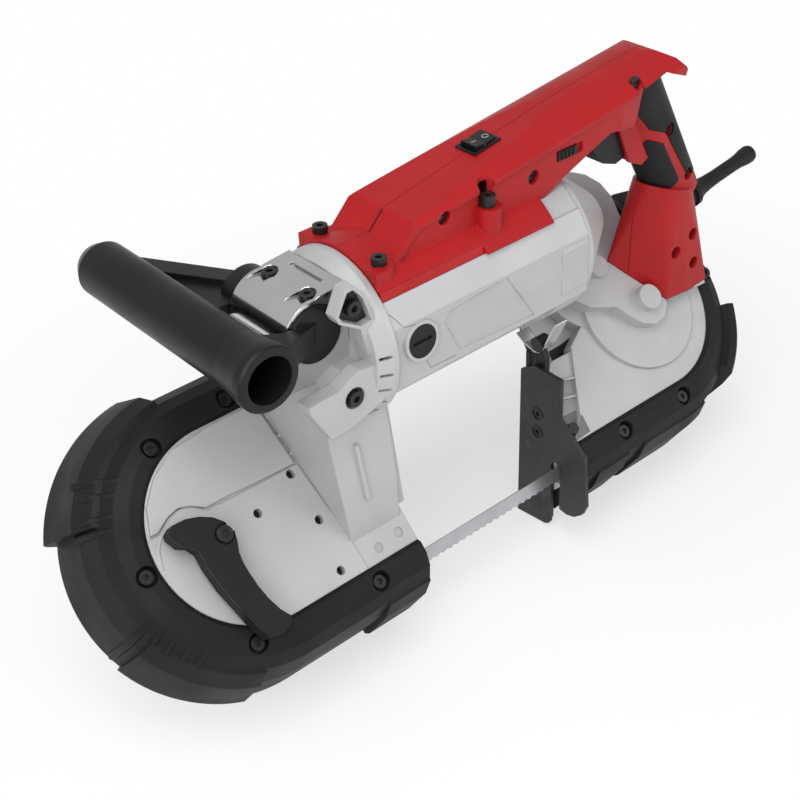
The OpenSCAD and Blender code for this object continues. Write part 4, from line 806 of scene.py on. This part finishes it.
def floor_paper():
    """White paper that shows its shadow near the saw and fades to plain white away from it."""
    fade_from, fade_to = 0.2, 0.6
    material = bpy.data.materials.new("studio_paper")
    material.use_nodes = True
    tree = material.node_tree
    paper = tree.nodes["Principled BSDF"]
    paper.inputs["Base Color"].default_value = (0.93, 0.93, 0.93, 1)
    paper.inputs["Roughness"].default_value = 0.9
    paper.inputs["Specular IOR Level"].default_value = 0.1
    white = tree.nodes.new("ShaderNodeEmission")
    white.inputs["Strength"].default_value = 1.0
    distance = tree.nodes.new("ShaderNodeVectorMath")
    distance.operation = "LENGTH"
    feed(tree, distance.inputs[0], tree.nodes.new("ShaderNodeTexCoord").outputs["Object"])
    fade = ramp(tree, distance.outputs["Value"], fade_from, fade_to, 0.55, 1.0)
    share = maths(tree, "MULTIPLY", fade, seen_as_background(tree))
    mixed = shader_mix(tree, share, paper.outputs[0], white.outputs[0])
    feed(tree, tree.nodes["Material Output"].inputs["Surface"], mixed)
    return material


def studio_floor(height):
    """A wide pale floor just under the saw."""
    shape = bmesh.new()
    bmesh.ops.create_grid(shape, x_segments=4, y_segments=4, size=6.0)
    bmesh.ops.translate(shape, vec=(0, 0, height), verts=shape.verts)
    mesh = bpy.data.meshes.new("studio_floor")
    shape.to_mesh(mesh)
    shape.free()
    mesh.materials.append(floor_paper())
    floor = bpy.data.objects.new("studio_floor", mesh)
    scene.collection.objects.link(floor)
    floor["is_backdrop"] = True


def soft_lamp(name, place, size, power):
    """A square area lamp that faces the saw, in metres and watts."""
    aim = Vector((0, 0, 0.05))
    data = bpy.data.lights.new(name, "AREA")
    data.shape = "SQUARE"
    data.size = size
    data.energy = power
    lamp = bpy.data.objects.new(name, data)
    scene.collection.objects.link(lamp)
    lamp.location = place
    lamp.rotation_mode = "QUATERNION"
    lamp.rotation_quaternion = (aim - Vector(place)).to_track_quat("-Z", "Y")


def studio_world():
    """Even grey light all round, seen as white by the camera and partly so by polished metal."""
    world = bpy.data.worlds.new("studio")
    scene.world = world
    world.use_nodes = True
    tree = world.node_tree
    light = tree.nodes["Background"]
    light.inputs["Color"].default_value = (0.98, 0.985, 1.0, 1)
    light.inputs["Strength"].default_value = 0.45
    white = tree.nodes.new("ShaderNodeBackground")
    white.inputs["Color"].default_value = (1, 1, 1, 1)
    mixed = shader_mix(tree, seen_as_background(tree, 0.35), light.outputs[0], white.outputs[0])
    feed(tree, tree.nodes["World Output"].inputs["Surface"], mixed)


dress_nodes()

cover_step()
hole_painted_shade()
shell_seam()
flange_lips()
stop_ledge()
stop_bracket()
stop_rings()
cap_bezels()
handle_web()
slit_painted_shade()
ear_painted_shade()
housing_seams()
bumper_flutes()
rocker_marks()

photo_camera()
studio_world()
studio_floor(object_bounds()[0].z - FLOOR_GAP)
soft_lamp("top_light", (-0.5, -0.35, 1.5), size=1.0, power=12)
soft_lamp("left_light", (-1.3, -0.7, 0.8), size=0.9, power=11)
soft_lamp("right_light", (0.9, -1.2, 0.5), size=0.9, power=5)
scene.view_settings.view_transform = "Standard"
